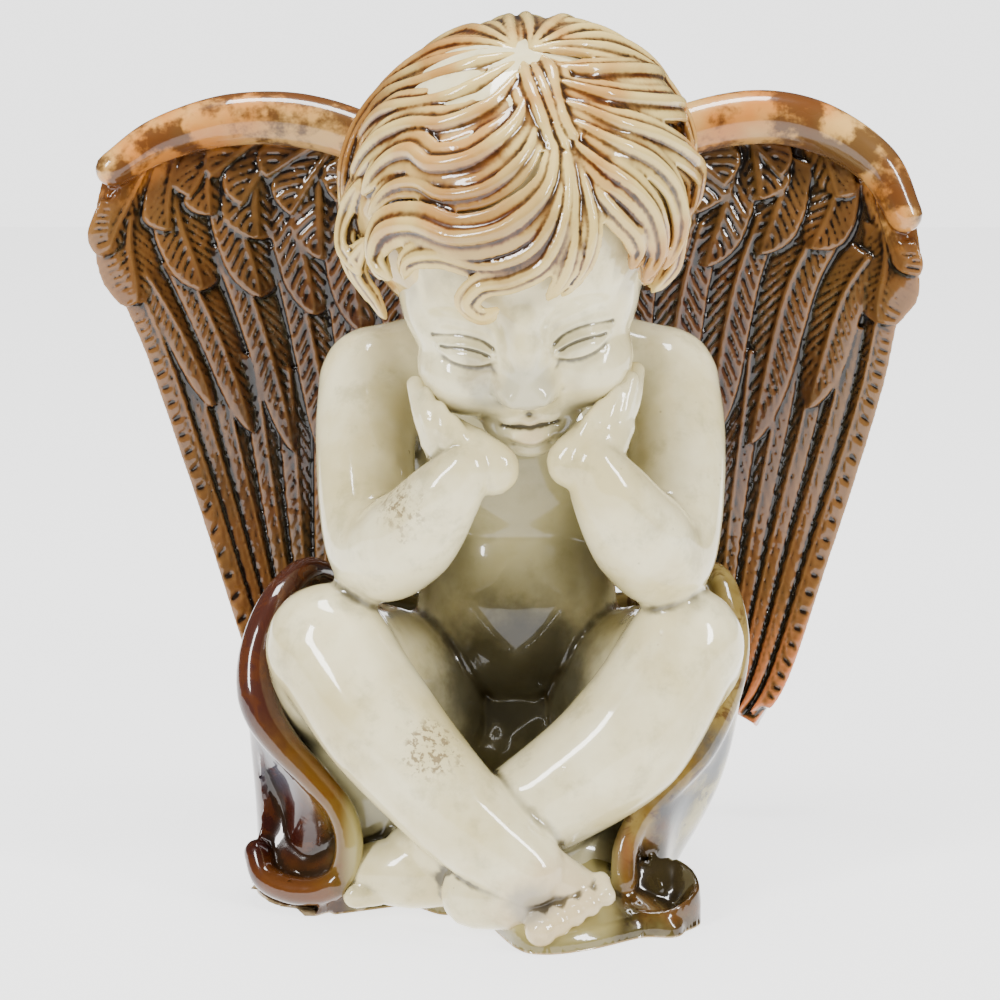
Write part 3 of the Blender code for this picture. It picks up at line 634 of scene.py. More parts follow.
def lock_tree():
    """Lines that carry their thickness and their outward direction in, closed ridged locks out."""
    tree, lines, sizes = geometry_tree("locks", LOCK_SIZES)
    thick = node(tree, "GeometryNodeInputNamedAttribute", {"data_type": "FLOAT"}, {0: "thick"})
    outward = node(tree, "GeometryNodeInputNamedAttribute", {"data_type": "FLOAT_VECTOR"}, {0: "outward"})
    curves = node(tree, "GeometryNodeMeshToCurve", {}, {0: lines})
    curves = node(tree, "GeometryNodeSetCurveNormal", {"mode": "FREE"}, {0: curves, 2: outward})
    circle = node(tree, "GeometryNodeCurvePrimitiveCircle", {}, {"Resolution": 56, "Radius": 1.0})
    x, y, _ = parts_of(node(tree, "GeometryNodeInputPosition"))
    angle = y.maths("ARCTAN2", x)
    ridged = 1 - sizes["Groove"] * (0.5 - 0.5 * (angle * sizes["Strands"]).maths("COSINE"))
    values = {0: x * ridged * sizes["Flatness"], 1: y * ridged, 2: 0.0}
    shaped = node(tree, "ShaderNodeCombineXYZ", {}, values)
    profile = node(tree, "GeometryNodeSetPosition", {}, {0: circle, 2: shaped})
    values = {0: curves, 1: profile, "Scale": thick, "Fill Caps": True}
    swept = node(tree, "GeometryNodeCurveToMesh", {}, values)
    finish_tree(tree, swept, clay_material)
    return tree


def lock_lines(locks):
    """One line of edges for each lock, with its thickness and outward direction on the points."""
    points, edges, thick, outward = [], [], [], []
    for path, half_width, start, end in locks:
        count = 10 * len(path)
        turns = unit(through(heading(*np.array(path, float).T), count))
        t = np.linspace(0, 1, count)
        line = on_hair(turns, start + (end - start) * t + 0.7 * np.sin(9 * t + len(points)))
        taper = np.interp(t, (0, 0.06, 0.25, 0.72, 0.93, 1), (0.2, 0.5, 1, 0.95, 0.6, 0.16))
        first = sum(len(part) for part in points)
        edges += [(first + i, first + i + 1) for i in range(count - 1)]
        points.append(line)
        thick.append(half_width * taper)
        outward.append(turns)
    mesh = bpy.data.meshes.new("lock_lines")
    mesh.from_pydata((np.vstack(points) * MM).tolist(), edges, [])
    thickness = mesh.attributes.new("thick", "FLOAT", "POINT")
    thickness.data.foreach_set("value", np.concatenate(thick) * MM)
    directions = mesh.attributes.new("outward", "FLOAT_VECTOR", "POINT")
    directions.data.foreach_set("vector", np.vstack(outward).ravel())
    return mesh


all_locks = list(FRONT_LOCKS) + list(back_locks())
swept_locks = grown("locks", lock_lines(all_locks), lock_tree(), LOCK_SIZES)
print(len(all_locks), "locks,", len(swept_locks.polygons), "faces swept")

# %% Press the hair

hair_clay = Clay()
CAP_CENTRE, CAP_RADII = (1, 8, 8), (51.5, 55, 46.5)
hair_clay.ball(CAP_CENTRE, CAP_RADII)
hair_clay.take(swept_locks)
hair = hair_clay.pressed("hair", voxel=0.6, softening=2)
seat_head(hair)

# %% [markdown]
# ## Wings
#
# A wing is a bowl: a rolled rim along the top, and overlapping feathers that hang from it. The feathers are
# instanced by Geometry Nodes on a flat plan of the wing, each one turned, stretched and tilted so that
# its inner edge lies over its neighbour, with the shaft and the cut barbs raised from the same leaf. Then
# the whole plan is wrapped on the bowl.

# %% The wing's bowl

WINGS = {
    "wing_left": {
        "rim": (
            (-20, 34, 220), (-44, 42, 236), (-68, 46, 243), (-92, 46, 243), (-114, 42, 237),
            (-129, 36, 228),
        ),
        "outer": (
            (-129, 36, 228), (-135, 36, 204), (-127, 40, 184), (-118, 44, 160), (-105, 46, 117),
            (-89, 41, 62), (-80, 34, 32),
        ),
    },
    "wing_right": {
        "rim": (
            (26, 34, 220), (52, 42, 237), (80, 46, 244), (103, 46, 241), (123, 42, 229), (132, 36, 213),
        ),
        "outer": (
            (132, 36, 213), (137, 36, 191), (130, 40, 176), (124, 44, 146), (109, 46, 92), (95, 38, 48),
            (84, 32, 30),
        ),
    },
}
INNER_EDGE = ((0, 34, 220), (-4, 36, 180), (0, 38, 120), (16, 38, 76), (36, 34, 40))
WING_CUP = 12
WING_THICKNESS = 6.0
RIM_RADIUS = 7.8
RIM_SHARES = (1, 1.1, 1.15, 1.1, 0.95, 0.75)
RIM_OFFSET = (0, -3, -4)
MIDDLE_OF_BACK = 4
WING_ROOT = (((12, 18, 150), 15), ((18, 28, 190), 13), ((30, 38, 220), 9))


def rim_line(wing):
    """The middle line of the rolled rim, which stands a little before the bowl's edge."""
    return [np.array(point) + RIM_OFFSET for point in wing["rim"]]


def wing_sheet(wing):
    """The middle surface of a wing, by s from root to outer edge and t from rim to tips."""
    rim = through(wing["rim"], 65)
    outer = through(wing["outer"], 65)
    side = math.copysign(1, wing["rim"][-1][0])
    root = np.array(wing["rim"][0], float)
    inner = through([(root[0] + side * x, y, z) for x, y, z in INNER_EDGE], 65)
    places = np.linspace(0, 1, 65)

    def read(curve, where):
        return np.stack([np.interp(where, places, curve[:, k]) for k in range(3)], -1)

    def surface(s, t):
        s, t = np.broadcast_arrays(np.asarray(s, float), np.asarray(t, float))
        plain = read(inner, t) * (1 - s)[..., None] + read(outer, t) * s[..., None]
        straight = inner[0] * (1 - s)[..., None] + outer[0] * s[..., None]
        plain = plain + (read(rim, s) - straight) * ((1 - np.clip(t, 0, 1)) ** 2)[..., None]
        plain[..., 1] += WING_CUP * np.sin(math.pi * np.clip(s, 0, 1)) * (1 - 0.4 * t)
        return plain

    return surface


def lifted(surface, s, t, height):
    """Points above the sheet, towards the viewer, by a height in millimetres."""
    step = 1e-3
    across = surface(s + step, t) - surface(s - step, t)
    down = surface(s, t + step) - surface(s, t - step)
    normal = unit(np.cross(across, down))
    normal = np.where(normal[..., 1:2] > 0, -normal, normal)
    return surface(s, t) + normal * np.asarray(height)[..., None]


# %% Where the feathers lie

# The plan's width and length in millimetres, which s and t are shares of.
PLAN = np.array((118.0, 205.0))

# Each feather is where its quill starts and where its tip ends, as shares across and along the wing, and
# its width in millimetres. The rows run from the longest, which lie lowest, to the small ones under the rim.
FEATHERS = {
    "wing_left": (
        ((0.97, 0.34), (0.95, 0.93), 15), ((0.88, 0.42), (0.86, 0.96), 14), ((0.77, 0.46), (0.77, 0.97), 15),
        ((0.64, 0.46), (0.66, 0.98), 16), ((0.52, 0.46), (0.53, 0.98), 16), ((0.39, 0.46), (0.39, 0.98), 16),
        ((0.26, 0.46), (0.24, 0.98), 16), ((0.13, 0.46), (0.1, 0.98), 16),
        ((0.93, 0.3), (0.84, 0.56), 17), ((0.8, 0.28), (0.7, 0.58), 18), ((0.64, 0.26), (0.53, 0.585), 18),
        ((0.47, 0.26), (0.37, 0.59), 18), ((0.32, 0.26), (0.23, 0.59), 18), ((0.16, 0.26), (0.1, 0.59), 18),
        ((0.91, 0.16), (1.0, 0.37), 25), ((0.76, 0.14), (0.76, 0.345), 21), ((0.6, 0.14), (0.58, 0.35), 20),
        ((0.44, 0.14), (0.41, 0.36), 20), ((0.3, 0.14), (0.26, 0.36), 20), ((0.15, 0.14), (0.12, 0.36), 20),
        ((0.88, 0.06), (1.01, 0.225), 22), ((0.76, 0.05), (0.8, 0.215), 19), ((0.66, 0.06), (0.67, 0.2), 16),
        ((0.52, 0.1), (0.55, 0.25), 22), ((0.34, 0.1), (0.37, 0.27), 20), ((0.18, 0.1), (0.2, 0.27), 20),
        ((0.62, 0.05), (0.72, 0.155), 20), ((0.44, 0.06), (0.58, 0.185), 20), ((0.3, 0.06), (0.44, 0.2), 20),
        ((0.48, 0.05), (0.66, 0.125), 18), ((0.32, 0.05), (0.5, 0.135), 18), ((0.14, 0.05), (0.3, 0.16), 20),
    ),
    "wing_right": (
        ((0.97, 0.3), (0.96, 0.95), 15), ((0.87, 0.38), (0.85, 0.97), 14), ((0.76, 0.42), (0.74, 0.98), 15),
        ((0.65, 0.42), (0.64, 0.98), 15), ((0.53, 0.42), (0.52, 0.98), 16), ((0.39, 0.42), (0.39, 0.98), 16),
        ((0.26, 0.42), (0.24, 0.98), 16), ((0.13, 0.42), (0.1, 0.98), 16),
        ((0.84, 0.22), (0.77, 0.51), 22), ((0.66, 0.2), (0.57, 0.545), 22), ((0.48, 0.2), (0.4, 0.53), 20),
        ((0.32, 0.2), (0.24, 0.55), 20), ((0.16, 0.2), (0.1, 0.55), 20),
        ((0.88, 0.14), (0.98, 0.36), 28), ((0.7, 0.08), (0.66, 0.25), 18), ((0.54, 0.09), (0.51, 0.27), 20),
        ((0.39, 0.09), (0.35, 0.28), 20), ((0.24, 0.09), (0.2, 0.29), 20), ((0.12, 0.09), (0.1, 0.29), 20),
        ((0.84, 0.05), (0.97, 0.19), 26), ((0.42, 0.05), (0.47, 0.17), 22), ((0.27, 0.05), (0.3, 0.18), 22),
        ((0.38, 0.045), (0.52, 0.125), 19), ((0.64, 0.045), (0.7, 0.13), 18),
        ((0.22, 0.045), (0.36, 0.14), 20),
    ),
}

# %% The tree that lays the feathers on the plan

FEATHER_SIZES = {"Thickness": 3.8, "Tilt": 1.9, "Shaft": 1.0, "Barb spacing": 4.4, "Barb depth": 2.0}


def feather_tree():
    """Points that carry each feather's turn, length and width in, feathers on the flat plan out."""
    tree, quills, sizes = geometry_tree("feathers", FEATHER_SIZES)

    def attribute(name):
        return node(tree, "GeometryNodeInputNamedAttribute", {"data_type": "FLOAT"}, {0: name})

    def kept(geometry, name, value):
        settings = {"data_type": "FLOAT", "domain": "POINT"}
        values = {0: geometry, "Name": name, "Value": value}
        return node(tree, "GeometryNodeStoreNamedAttribute", settings, values)

    # One leaf, 2 wide and 1 long, from a grid whose outline is drawn in to a quill and a round tip.
    values = {"Size X": 2.0, "Size Y": 1.0, "Vertices X": 31, "Vertices Y": 121}
    leaf = node(tree, "GeometryNodeMeshGrid", {}, values)
    across, along, _ = parts_of(node(tree, "GeometryNodeInputPosition"))
    along = along + 0.5
    leaf = kept(leaf, "across", across)
    leaf = kept(leaf, "along", along)
    tip = (1 - ((along - 0.72).most(0.0) / 0.28) ** 2.0).most(0.003) ** 0.5
    outline = tip * (0.80 + 0.20 * (along * 2).least(1.0))
    flat = node(tree, "ShaderNodeCombineXYZ", {}, {0: across * outline, 1: along, 2: 0.0})
    leaf = node(tree, "GeometryNodeSetPosition", {}, {0: leaf, 2: flat})
    turn = node(tree, "ShaderNodeCombineXYZ", {}, {0: 0.0, 1: 0.0, 2: attribute("turn")})
    turn = node(tree, "FunctionNodeEulerToRotation", {}, {0: turn})
    values = {0: attribute("width") * 0.5, 1: attribute("length"), 2: 1.0}
    size = node(tree, "ShaderNodeCombineXYZ", {}, values)
    laid = node(tree, "GeometryNodeInstanceOnPoints", {}, {0: quills, 2: leaf, 5: turn, 6: size})
    laid = node(tree, "GeometryNodeRealizeInstances", {}, {0: laid})
    # The relief, from the leaf's own coordinates and the length that its instance brought along.
    # Barbs slant from the shaft, stop short of the edges and ends, and are weaker on slim feathers.
    u, v = attribute("across"), attribute("along")
    off_shaft = abs(u)
    slanted = (v * attribute("length") + off_shaft * attribute("width") * -0.62) / sizes["Barb spacing"]
    barb = ((slanted * (2 * math.pi)).sine() * 0.5 + 0.5) ** 6.0
    barb = barb * (0.35 + 0.65 * attribute("width").rising(13.0, 19.0))
    barb = barb * off_shaft.rising(0.10, 0.24) * (1 - off_shaft.rising(0.72, 0.92))
    barb = barb * v.rising(0.05, 0.15) * (1 - v.rising(0.86, 0.97))
    shaft = 1 - off_shaft.rising(0.05, 0.15)
    dome = (1 - off_shaft ** 2.4) * 0.55 + 0.45
    lift = sizes["Thickness"] * dome * (0.45 + 0.55 * v) + sizes["Tilt"] * u * (0.3 + 0.7 * v)
    lift = lift + sizes["Shaft"] * shaft * (1 - v * 0.7) - sizes["Barb depth"] * barb + attribute("layer")
    raised = node(tree, "ShaderNodeCombineXYZ", {}, {0: 0.0, 1: 0.0, 2: lift})
    made = node(tree, "GeometryNodeSetPosition", {}, {0: laid, 3: raised})
    finish_tree(tree, made, clay_material)
    return tree


LAYER_HEIGHT = 0.02


def quills_of(feathers):
    """One point for each feather, at its quill on the plan, with what its leaf needs to know."""
    start = np.array([row[0] for row in feathers]) * PLAN
    end = np.array([row[1] for row in feathers]) * PLAN
    run = end - start
    mesh = bpy.data.meshes.new("quills")
    mesh.from_pydata(np.hstack([start, np.zeros((len(start), 1))]).tolist(), [], [])
    facts = {
        "turn": np.arctan2(-run[:, 0], run[:, 1]),
        "length": np.linalg.norm(run, axis=1),
        "width": np.array([row[2] for row in feathers], float),
        "layer": LAYER_HEIGHT * np.arange(len(start)),
    }
    for name, values in facts.items():
        mesh.attributes.new(name, "FLOAT", "POINT").data.foreach_set("value", values.astype(np.float32))
    return mesh


# %% Press the wings

leaf_tree = feather_tree()


def wrap_feathers(clay, feathers, surface):
    """Wraps the flat plan of a wing's feathers on its bowl and closes each leaf behind."""
    plan = grown("feathers", quills_of(feathers), leaf_tree, FEATHER_SIZES)
    flat = points_of(plan)
    s, t = flat[:, 0] / PLAN[0], flat[:, 1] / PLAN[1]
    top = lifted(surface, s, t, WING_THICKNESS / 2 + flat[:, 2])
    under = lifted(surface, s, t, np.zeros(len(s)))
    count = len(flat)
    faces = [list(face.vertices) for face in plan.polygons]
    backs = [[k + count for k in face[::-1]] for face in faces]
    # An edge that no second face runs along the other way is on a leaf's border. A dict keeps their order.
    ends = {(a, b): None for face in faces for a, b in zip(face, face[1:] + face[:1])}
    walls = [[b, a, a + count, b + count] for a, b in ends if (b, a) not in ends]
    clay.add(np.vstack([top, under]), faces + backs + walls)


def carve_wing(name, wing):
    """A wing of feathers on a bowl, with its rolled rim and the root that joins it to the back."""
    clay = Clay()
    surface = wing_sheet(wing)
    wrap_feathers(clay, FEATHERS[name], surface)
    s, t = np.meshgrid(np.linspace(0, 1, 70), np.linspace(0, 0.97, 110), indexing="ij")
    half = np.full(s.shape, WING_THICKNESS / 2)
    clay.slab(lifted(surface, s, t, half), lifted(surface, s, t, -half))
    clay.roll(rim_line(wing), [RIM_RADIUS * share for share in RIM_SHARES], sides=40)
    side = math.copysign(1, wing["rim"][-1][0])
    limb(clay, [((MIDDLE_OF_BACK + side * x, y, z), radius) for (x, y, z), radius in WING_ROOT])
    return clay.pressed(name, voxel=0.66, softening=2)


wings = {name: carve_wing(name, wing) for name, wing in WINGS.items()}

# %% [markdown]
# ## Cloth
#
# The figure sits on a cloth that is drawn up round its hips and knees and spills on the table. It is cast
# in clay with the rest, so it is a wall with a rolled hem, folds that run down it, and a low floor of
# bunched cloth under the shins.

# %% The cloth's walls, hem and floor

CLOTH_EDGE = (
    (-54, -63, 9), (-49, -63, 20), (-51, -60, 33), (-63, -53, 46), (-75, -46, 58), (-79, -38, 74),
    (-74, -28, 91), (-64, -8, 98), (-50, 18, 84), (-30, 40, 74), (4, 48, 72), (38, 40, 74), (56, 18, 84),
    (66, -8, 98), (72, -28, 90), (72, -41, 74), (64, -50, 54), (50, -58, 40), (39, -64, 28), (37, -70, 14),
)
CLOTH_FLOOR = (
    (-60, -62), (-68, -57), (-74, -52), (-79, -40), (-79, -20), (-79, -4), (-75, 12), (-64, 28), (-46, 42),
    (-24, 52), (4, 56), (28, 52), (42, 42), (50, 28), (52, 10), (50, -10), (48, -28), (48, -44), (50, -56),
    (52, -68),
)
FOOTPRINT = (
    (-54, -62), (-36, -50), (-20, -62), (-10, -60), (3, -90), (12, -96), (26, -92), (42, -82), (56, -76),
    (54, -20), (50, 34), (4, 54), (-58, 34), (-76, -20),
)
BELOW_TABLE = -4
CLOTH_THICKNESS = 8.0
HEM_RADIUS = 4.5
HEM_SHARES = (0.9, 1, 1, 1.15, 1.5, 1.3, 1.1, 1, 0.9, 0.9, 0.9, 1, 1.1, 1.1, 1, 1, 0.9, 0.9)
CLOTH_FOLDS = 9
FOLD_DEPTH = 1.8
# How far the wall hollows in at places along it, as shares of its length and in millimetres.
HOLLOWS = ((0, 0.04, 0.14, 0.22, 0.6, 0.74, 0.85, 1), (2, 11, 9, 3, 3, -6, -2, 6))
MIDDLE_OF_CLOTH = (4, -8)

# The pocket of cloth under the knee at the viewer's left: its outer side and its hem, from the top down.
POCKET_OUTER = ((-77, -42, 52), (-79, -41, 40), (-78, -42, 28), (-79, -46, 16), (-75, -53, 9))
POCKET_HEM = ((-75, -45, 57), (-64, -52, 46), (-53, -59, 34), (-50, -63, 21), (-55, -63, 10))
POCKET_DEPTH = 11
# The pocket's rolled lip on the table, and the rim of the cloth's curled end at the viewer's right.
LIP = ((-79, -46, 15), (-76, -52, 9), (-68, -58, 7), (-59, -62, 8), (-53, -64, 11))
CURLED_END = (
    (38, -68, 16), (46, -63, 18), (55, -60, 16), (60, -65, 13), (60, -71, 10), (53, -78, 7), (44, -80, 6),
    (37, -76, 8),
)
# The rings of the curled end and of the mound under the shins, as shares and rises.
BOWL_RINGS = ((1.06, -4), (1.0, 2), (0.75, 0), (0.4, -3), (0.05, -4))
MOUND_RINGS = ((1.0, -6), (1.0, 3), (0.96, 6), (0.85, 9), (0.5, 20), (0.05, 24))


def dish(clay, ring, shares):
    """A low mound or bowl: rings drawn in to their middle by shares, each raised by millimetres."""
    ring = through(ring + ring[:1], 169)
    ring[-1] = ring[0]
    centre = ring[:-1].mean(0) * (1, 1, 0)
    grid = np.array([centre + (ring - centre) * (share, share, 1) + (0, 0, rise) for share, rise in shares])
    under = grid.copy()
    under[..., 2] = 2 * BELOW_TABLE
    clay.slab(grid, under)


def pocket(clay):
    """The hollow of cloth between the hem and the fold behind it, with a lip on the table."""
    outer, hem = through(POCKET_OUTER, 75)[:, None], through(POCKET_HEM, 75)[:, None]
    across = np.linspace(0, 1, 39)[None, :, None]
    down = np.linspace(0, 1, 75)[:, None]
    front = outer * (1 - across) + hem * across
    front[..., 1] += POCKET_DEPTH * np.sin(math.pi * across[..., 0]) * np.sin(math.pi * (0.05 + 0.9 * down))
    front[..., 1] += 1.2 * np.sin(3 * math.pi * across[..., 0] + 2 * down)
    clay.slab(front, front + np.array((4, 14, 0)))
    clay.roll(LIP, [HEM_RADIUS] * 2)


def drape(clay):
    """The cloth that the figure sits on, drawn up round the knees and the back."""
    edge = through(CLOTH_EDGE, 271)
    floor = through([(x, y, BELOW_TABLE) for x, y in CLOTH_FLOOR], 271)
    away = edge[:, :2] - np.array(MIDDLE_OF_CLOTH)
    away = np.hstack([unit(away), np.zeros((len(edge), 1))])
    down = np.linspace(0, 1, 61)[:, None, None]
    places = np.linspace(0, 1, len(edge))[None, :, None]
    folds = FOLD_DEPTH * np.sin(places * 2 * math.pi * CLOTH_FOLDS)
    folds = folds * np.sin(math.pi * np.clip(down * 1.2, 0, 1))
    sheet = edge[None] * (1 - down) + floor[None] * down
    hollow = np.sin(math.pi * down) * np.interp(places, HOLLOWS[0], HOLLOWS[1])
    sheet = sheet + away[None] * (folds - hollow)
    clay.slab(sheet + away[None] * CLOTH_THICKNESS / 2, sheet - away[None] * CLOTH_THICKNESS / 2)
    clay.roll(list(edge[::10]), [HEM_RADIUS * share for share in HEM_SHARES], steps=5)
    pocket(clay)
    dish(clay, CURLED_END, BOWL_RINGS)
    dish(clay, tuple((x, y, 0) for x, y in FOOTPRINT), MOUND_RINGS)


cloth_clay = Clay()
drape(cloth_clay)
cloth = cloth_clay.pressed("cloth", voxel=0.75, softening=4)

# %% Tuck the hips in behind the cloth

TUCKED_BEHIND_Y = -34
TUCKED_BELOW_Z = 84
TUCKED_AT_MOST = 9
TUCKED_DEPTH = 1.5


def tuck(mesh, cover):
    """Draws a mesh in behind its cover wherever it would show through the cover's wall."""
    corners = [vertex.co for vertex in cover.vertices]
    wall = BVHTree.FromPolygons(corners, [tuple(face.vertices) for face in cover.polygons])
    points = points_of(mesh)
    middle = np.array(MIDDLE_OF_CLOTH) * MM
    near = (points[:, 1] > TUCKED_BEHIND_Y * MM) & (points[:, 2] < TUCKED_BELOW_Z * MM)
    for i in np.flatnonzero(near):
        inward = Vector((*unit(middle - points[i, :2]), 0))
        start = Vector(points[i])
        if wall.ray_cast(start, -inward)[0] is None:
            distance = wall.ray_cast(start, inward, TUCKED_AT_MOST * MM)[3]
            if distance is not None:
                points[i] += np.array(inward) * (distance + TUCKED_DEPTH * MM)
    move_points(mesh, points)


tuck(body, cloth)

# %% [markdown]
# ## Set it on the table
#
# The lumps reach a little below the table, so everything under it is pressed flat. The whole is then moved
# to where the fixed frame has its box, each piece is thinned where it is plain, and every point learns how
# deep in the carving it lies, because that is what the glaze will follow.

# %% Line the pieces up with the frame

meshes = {"figure": body, "face": head, "hair": hair, **wings, "cloth": cloth}
low, high = (np.array(corner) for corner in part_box(CAD_NODE))
every = np.vstack([points_of(mesh) for mesh in meshes.values()])
shift = ((low + high) - (every.min(0) + every.max(0))) / 2
shift[2] = 0
FLOAT_ABOVE_TABLE = 0.0005
for name, mesh in meshes.items():
    points = points_of(mesh) + shift
    lowest = 0 if name == "cloth" else FLOAT_ABOVE_TABLE
    points[:, 2] = np.maximum(points[:, 2], lowest)
    move_points(mesh, points)
print("shift mm", np.round(shift / MM, 2))

# %% Thin what is plain

MOST_TRIANGLES = {
    "figure": 170000, "face": 150000, "hair": 180000,
    "wing_left": 190000, "wing_right": 190000, "cloth": 100000,
}
PLAIN_BIAS = 0.05


def triangles_of(mesh):
    return sum(len(face.vertices) - 2 for face in mesh.polygons)


def plainness(name, points, normals):
    """How freely a piece's faces can be spared, from 0 for not at all to 1."""
    backward = np.clip(normals[:, 1] * 1.6, 0, 1)
    if name.startswith("wing"):
        return np.where(normals[:, 1] > 0.15, 1.0, 0.1)
    if name == "face":
        seen = (points - shift - HEAD_CENTRE * MM) @ HEAD_TURN
        return np.clip((seen[:, 1] / MM + 30) / 18, 0.03, 1)
    if name == "figure":
        return np.clip(0.25 + 0.75 * backward, 0, 1)
    return 0.2 + 0.5 * backward


def thinned(name, mesh):
    """The mesh of at most so many triangles, as an object, smooth shaded."""
    piece = bpy.data.objects.new(name, mesh)
    bpy.context.scene.collection.objects.link(piece)
    triangles = triangles_of(mesh)
    if triangles > MOST_TRIANGLES[name]:
        plain = plainness(name, points_of(mesh), normals_of(mesh))
        group = piece.vertex_groups.new(name="plain")
        for level in np.unique(np.round(plain, 1)):
            group.add(np.flatnonzero(np.round(plain, 1) == level).tolist(), float(level), "REPLACE")
        thin = piece.modifiers.new("fewer faces", "DECIMATE")
        thin.vertex_group = "plain"
        thin.vertex_group_factor = PLAIN_BIAS
        thin.ratio = MOST_TRIANGLES[name] / triangles
        mesh = taken(piece)
        mesh.name = name
        piece = bpy.data.objects.new(name, mesh)
        bpy.context.scene.collection.objects.link(piece)
    mesh.shade_smooth()
    print(f"{name}: {triangles} -> {triangles_of(mesh)} triangles")
    return piece


pieces = {name: thinned(name, mesh) for name, mesh in meshes.items()}

# %% How deep each point lies


def neighbours(mesh):
    """The two ends of every edge."""
    ends = np.empty(len(mesh.edges) * 2, np.int32)
    mesh.edges.foreach_get("vertices", ends)
    return ends[::2], ends[1::2]


def settled(values, ends, rounds):
    """Values on the points after so many rounds in which each takes the mean of its neighbours'."""
    a, b = ends
    count = len(values)
    degree = np.maximum(np.bincount(a, minlength=count) + np.bincount(b, minlength=count), 1)

    def summed(column):
        forward = np.bincount(a, weights=column[b], minlength=count)
        return forward + np.bincount(b, weights=column[a], minlength=count)

    for _ in range(rounds):
        sums = np.stack([summed(column) for column in values.T], -1)
        values = 0.5 * values + 0.5 * sums / degree[:, None]
    return values


def keep(mesh, name, values):
    mesh.attributes.new(name, "FLOAT", "POINT").data.foreach_set("value", values.astype(np.float32))


NEAR_ROUNDS = 8
FAR_ROUNDS = 50


def note_depths(mesh, evening):
    """Keeps how many millimetres each point lies below what is near, as cut, and further, as hollow."""
    points, normals, ends = points_of(mesh), normals_of(mesh), neighbours(mesh)
    near = settled(points, ends, NEAR_ROUNDS)
    far = settled(near, ends, FAR_ROUNDS)
    depths = np.stack([((near - points) * normals).sum(1), ((far - points) * normals).sum(1)], -1) / MM
    depths = settled(depths, ends, evening)
    keep(mesh, "cut", depths[:, 0])
    keep(mesh, "hollow", depths[:, 1])


# Rounds of evening out the depths of each piece. The carved ones stay crisp.
EVENING = {"figure": 4, "face": 1, "hair": 0, "wing_left": 0, "wing_right": 0, "cloth": 4}
for name, piece in pieces.items():
    note_depths(piece.data, EVENING[name])

# %% How sheltered each point is

# The glazes paint shade from this share: the more open air a point's surroundings hide, the darker its
# colour.
SHELTER_RAYS = 40
SHELTER_REACH = 0.06
OFF_THE_SKIN = 0.0008


def shelter_of(frame_mesh):
    """The corners of the frame's solid, and the share of open air that it hides from each of them."""
    points, normals = points_of(frame_mesh), normals_of(frame_mesh)
    tree = BVHTree.FromPolygons(points.tolist(), [list(face.vertices) for face in frame_mesh.polygons])
    turn = np.arange(SHELTER_RAYS) * math.pi * (3 - math.sqrt(5))
    rise = 1 - 2 * (np.arange(SHELTER_RAYS) + 0.5) / SHELTER_RAYS
    flat = np.sqrt(1 - rise**2)
    rays = np.stack([flat * np.cos(turn), flat * np.sin(turn), rise], -1)
    shares = []
    for point, normal in zip(points, normals):
        aimed = unit(rays + normal * 1.02)
        start = Vector(point + normal * OFF_THE_SKIN)
        hits = sum(tree.ray_cast(start, Vector(ray), SHELTER_REACH)[0] is not None for ray in aimed)
        shares.append(hits / SHELTER_RAYS)
    return points, np.array(shares)


solid = bmesh.new()
solid.from_mesh(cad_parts[CAD_NODE].data)
bmesh.ops.remove_doubles(solid, verts=solid.verts, dist=1e-6)
solid_mesh = bpy.data.meshes.new("solid")
solid.to_mesh(solid_mesh)
solid.free()
places, shares = shelter_of(solid_mesh)
shares = settled(shares[:, None], neighbours(solid_mesh), rounds=2)[:, 0]


def kept_places(points):
    """A tree that finds the nearest of many points."""
    tree = KDTree(len(points))
    for i, point in enumerate(points):
        tree.insert(point, i)
    tree.balance()
    return tree


near_places = kept_places(places)


def note_shelter(mesh):
    """Keeps the shelter at each point, blended from the nearest places that it is known at."""
    values = []
    for point in points_of(mesh):
        found = near_places.find_n(point, 3)
        weights = [1 / (distance + 0.0005) for _, _, distance in found]
        values.append(sum(w * shares[i] for w, (_, i, _) in zip(weights, found)) / sum(weights))
    values = settled(np.array(values)[:, None], neighbours(mesh), rounds=6)[:, 0]
    keep(mesh, "shelter", values)


for piece in pieces.values():
    note_shelter(piece.data)

# %% [markdown]
# ## Glazes
#
# Every glaze here is the same stuff: a coloured coat that runs thin over ridges and gathers in the cuts,
# under a clear gloss. So one class builds them all from a few colours, and each part of the figure has its
# own pot. Stains that don't follow the carving are dabbed on as soft spots with rough edges. A pot
# works in the same millimetres as the clay.
# The skin, hair and wing glazes also get painted shade: darker where the figure shelters a point from open
# light. On the skin, dabs of painted shade darken the lap, the belly and chest and the eye sockets, and its
# broad hollows are darker partly as gathered glaze and partly as painted shade.

# %% Colours


def shade(red, green, blue):
    """A colour as a screen shows it, 0 to 255, as the linear colour that a shader takes."""
    values = np.array((red, green, blue)) / 255
    linear = np.where(values <= 0.04045, values / 12.92, ((values + 0.055) / 1.055) ** 2.4)
    return (*linear.tolist(), 1.0)


def mixed(factor, first, second):
    values = {0: factor, 6: first, 7: second}
    tree = next(value.tree for value in (factor, first, second) if isinstance(value, Wire))
    return node(tree, "ShaderNodeMix", {"data_type": "RGBA", "clamp_factor": True}, values, 2)


def layered(base, *coats):
    """A colour under several coats, each a factor and a colour."""
    for factor, colour in coats:
        base = mixed(factor, base, colour)
    return base


# %% A pot of glaze

UNEVEN_SIZE = 11


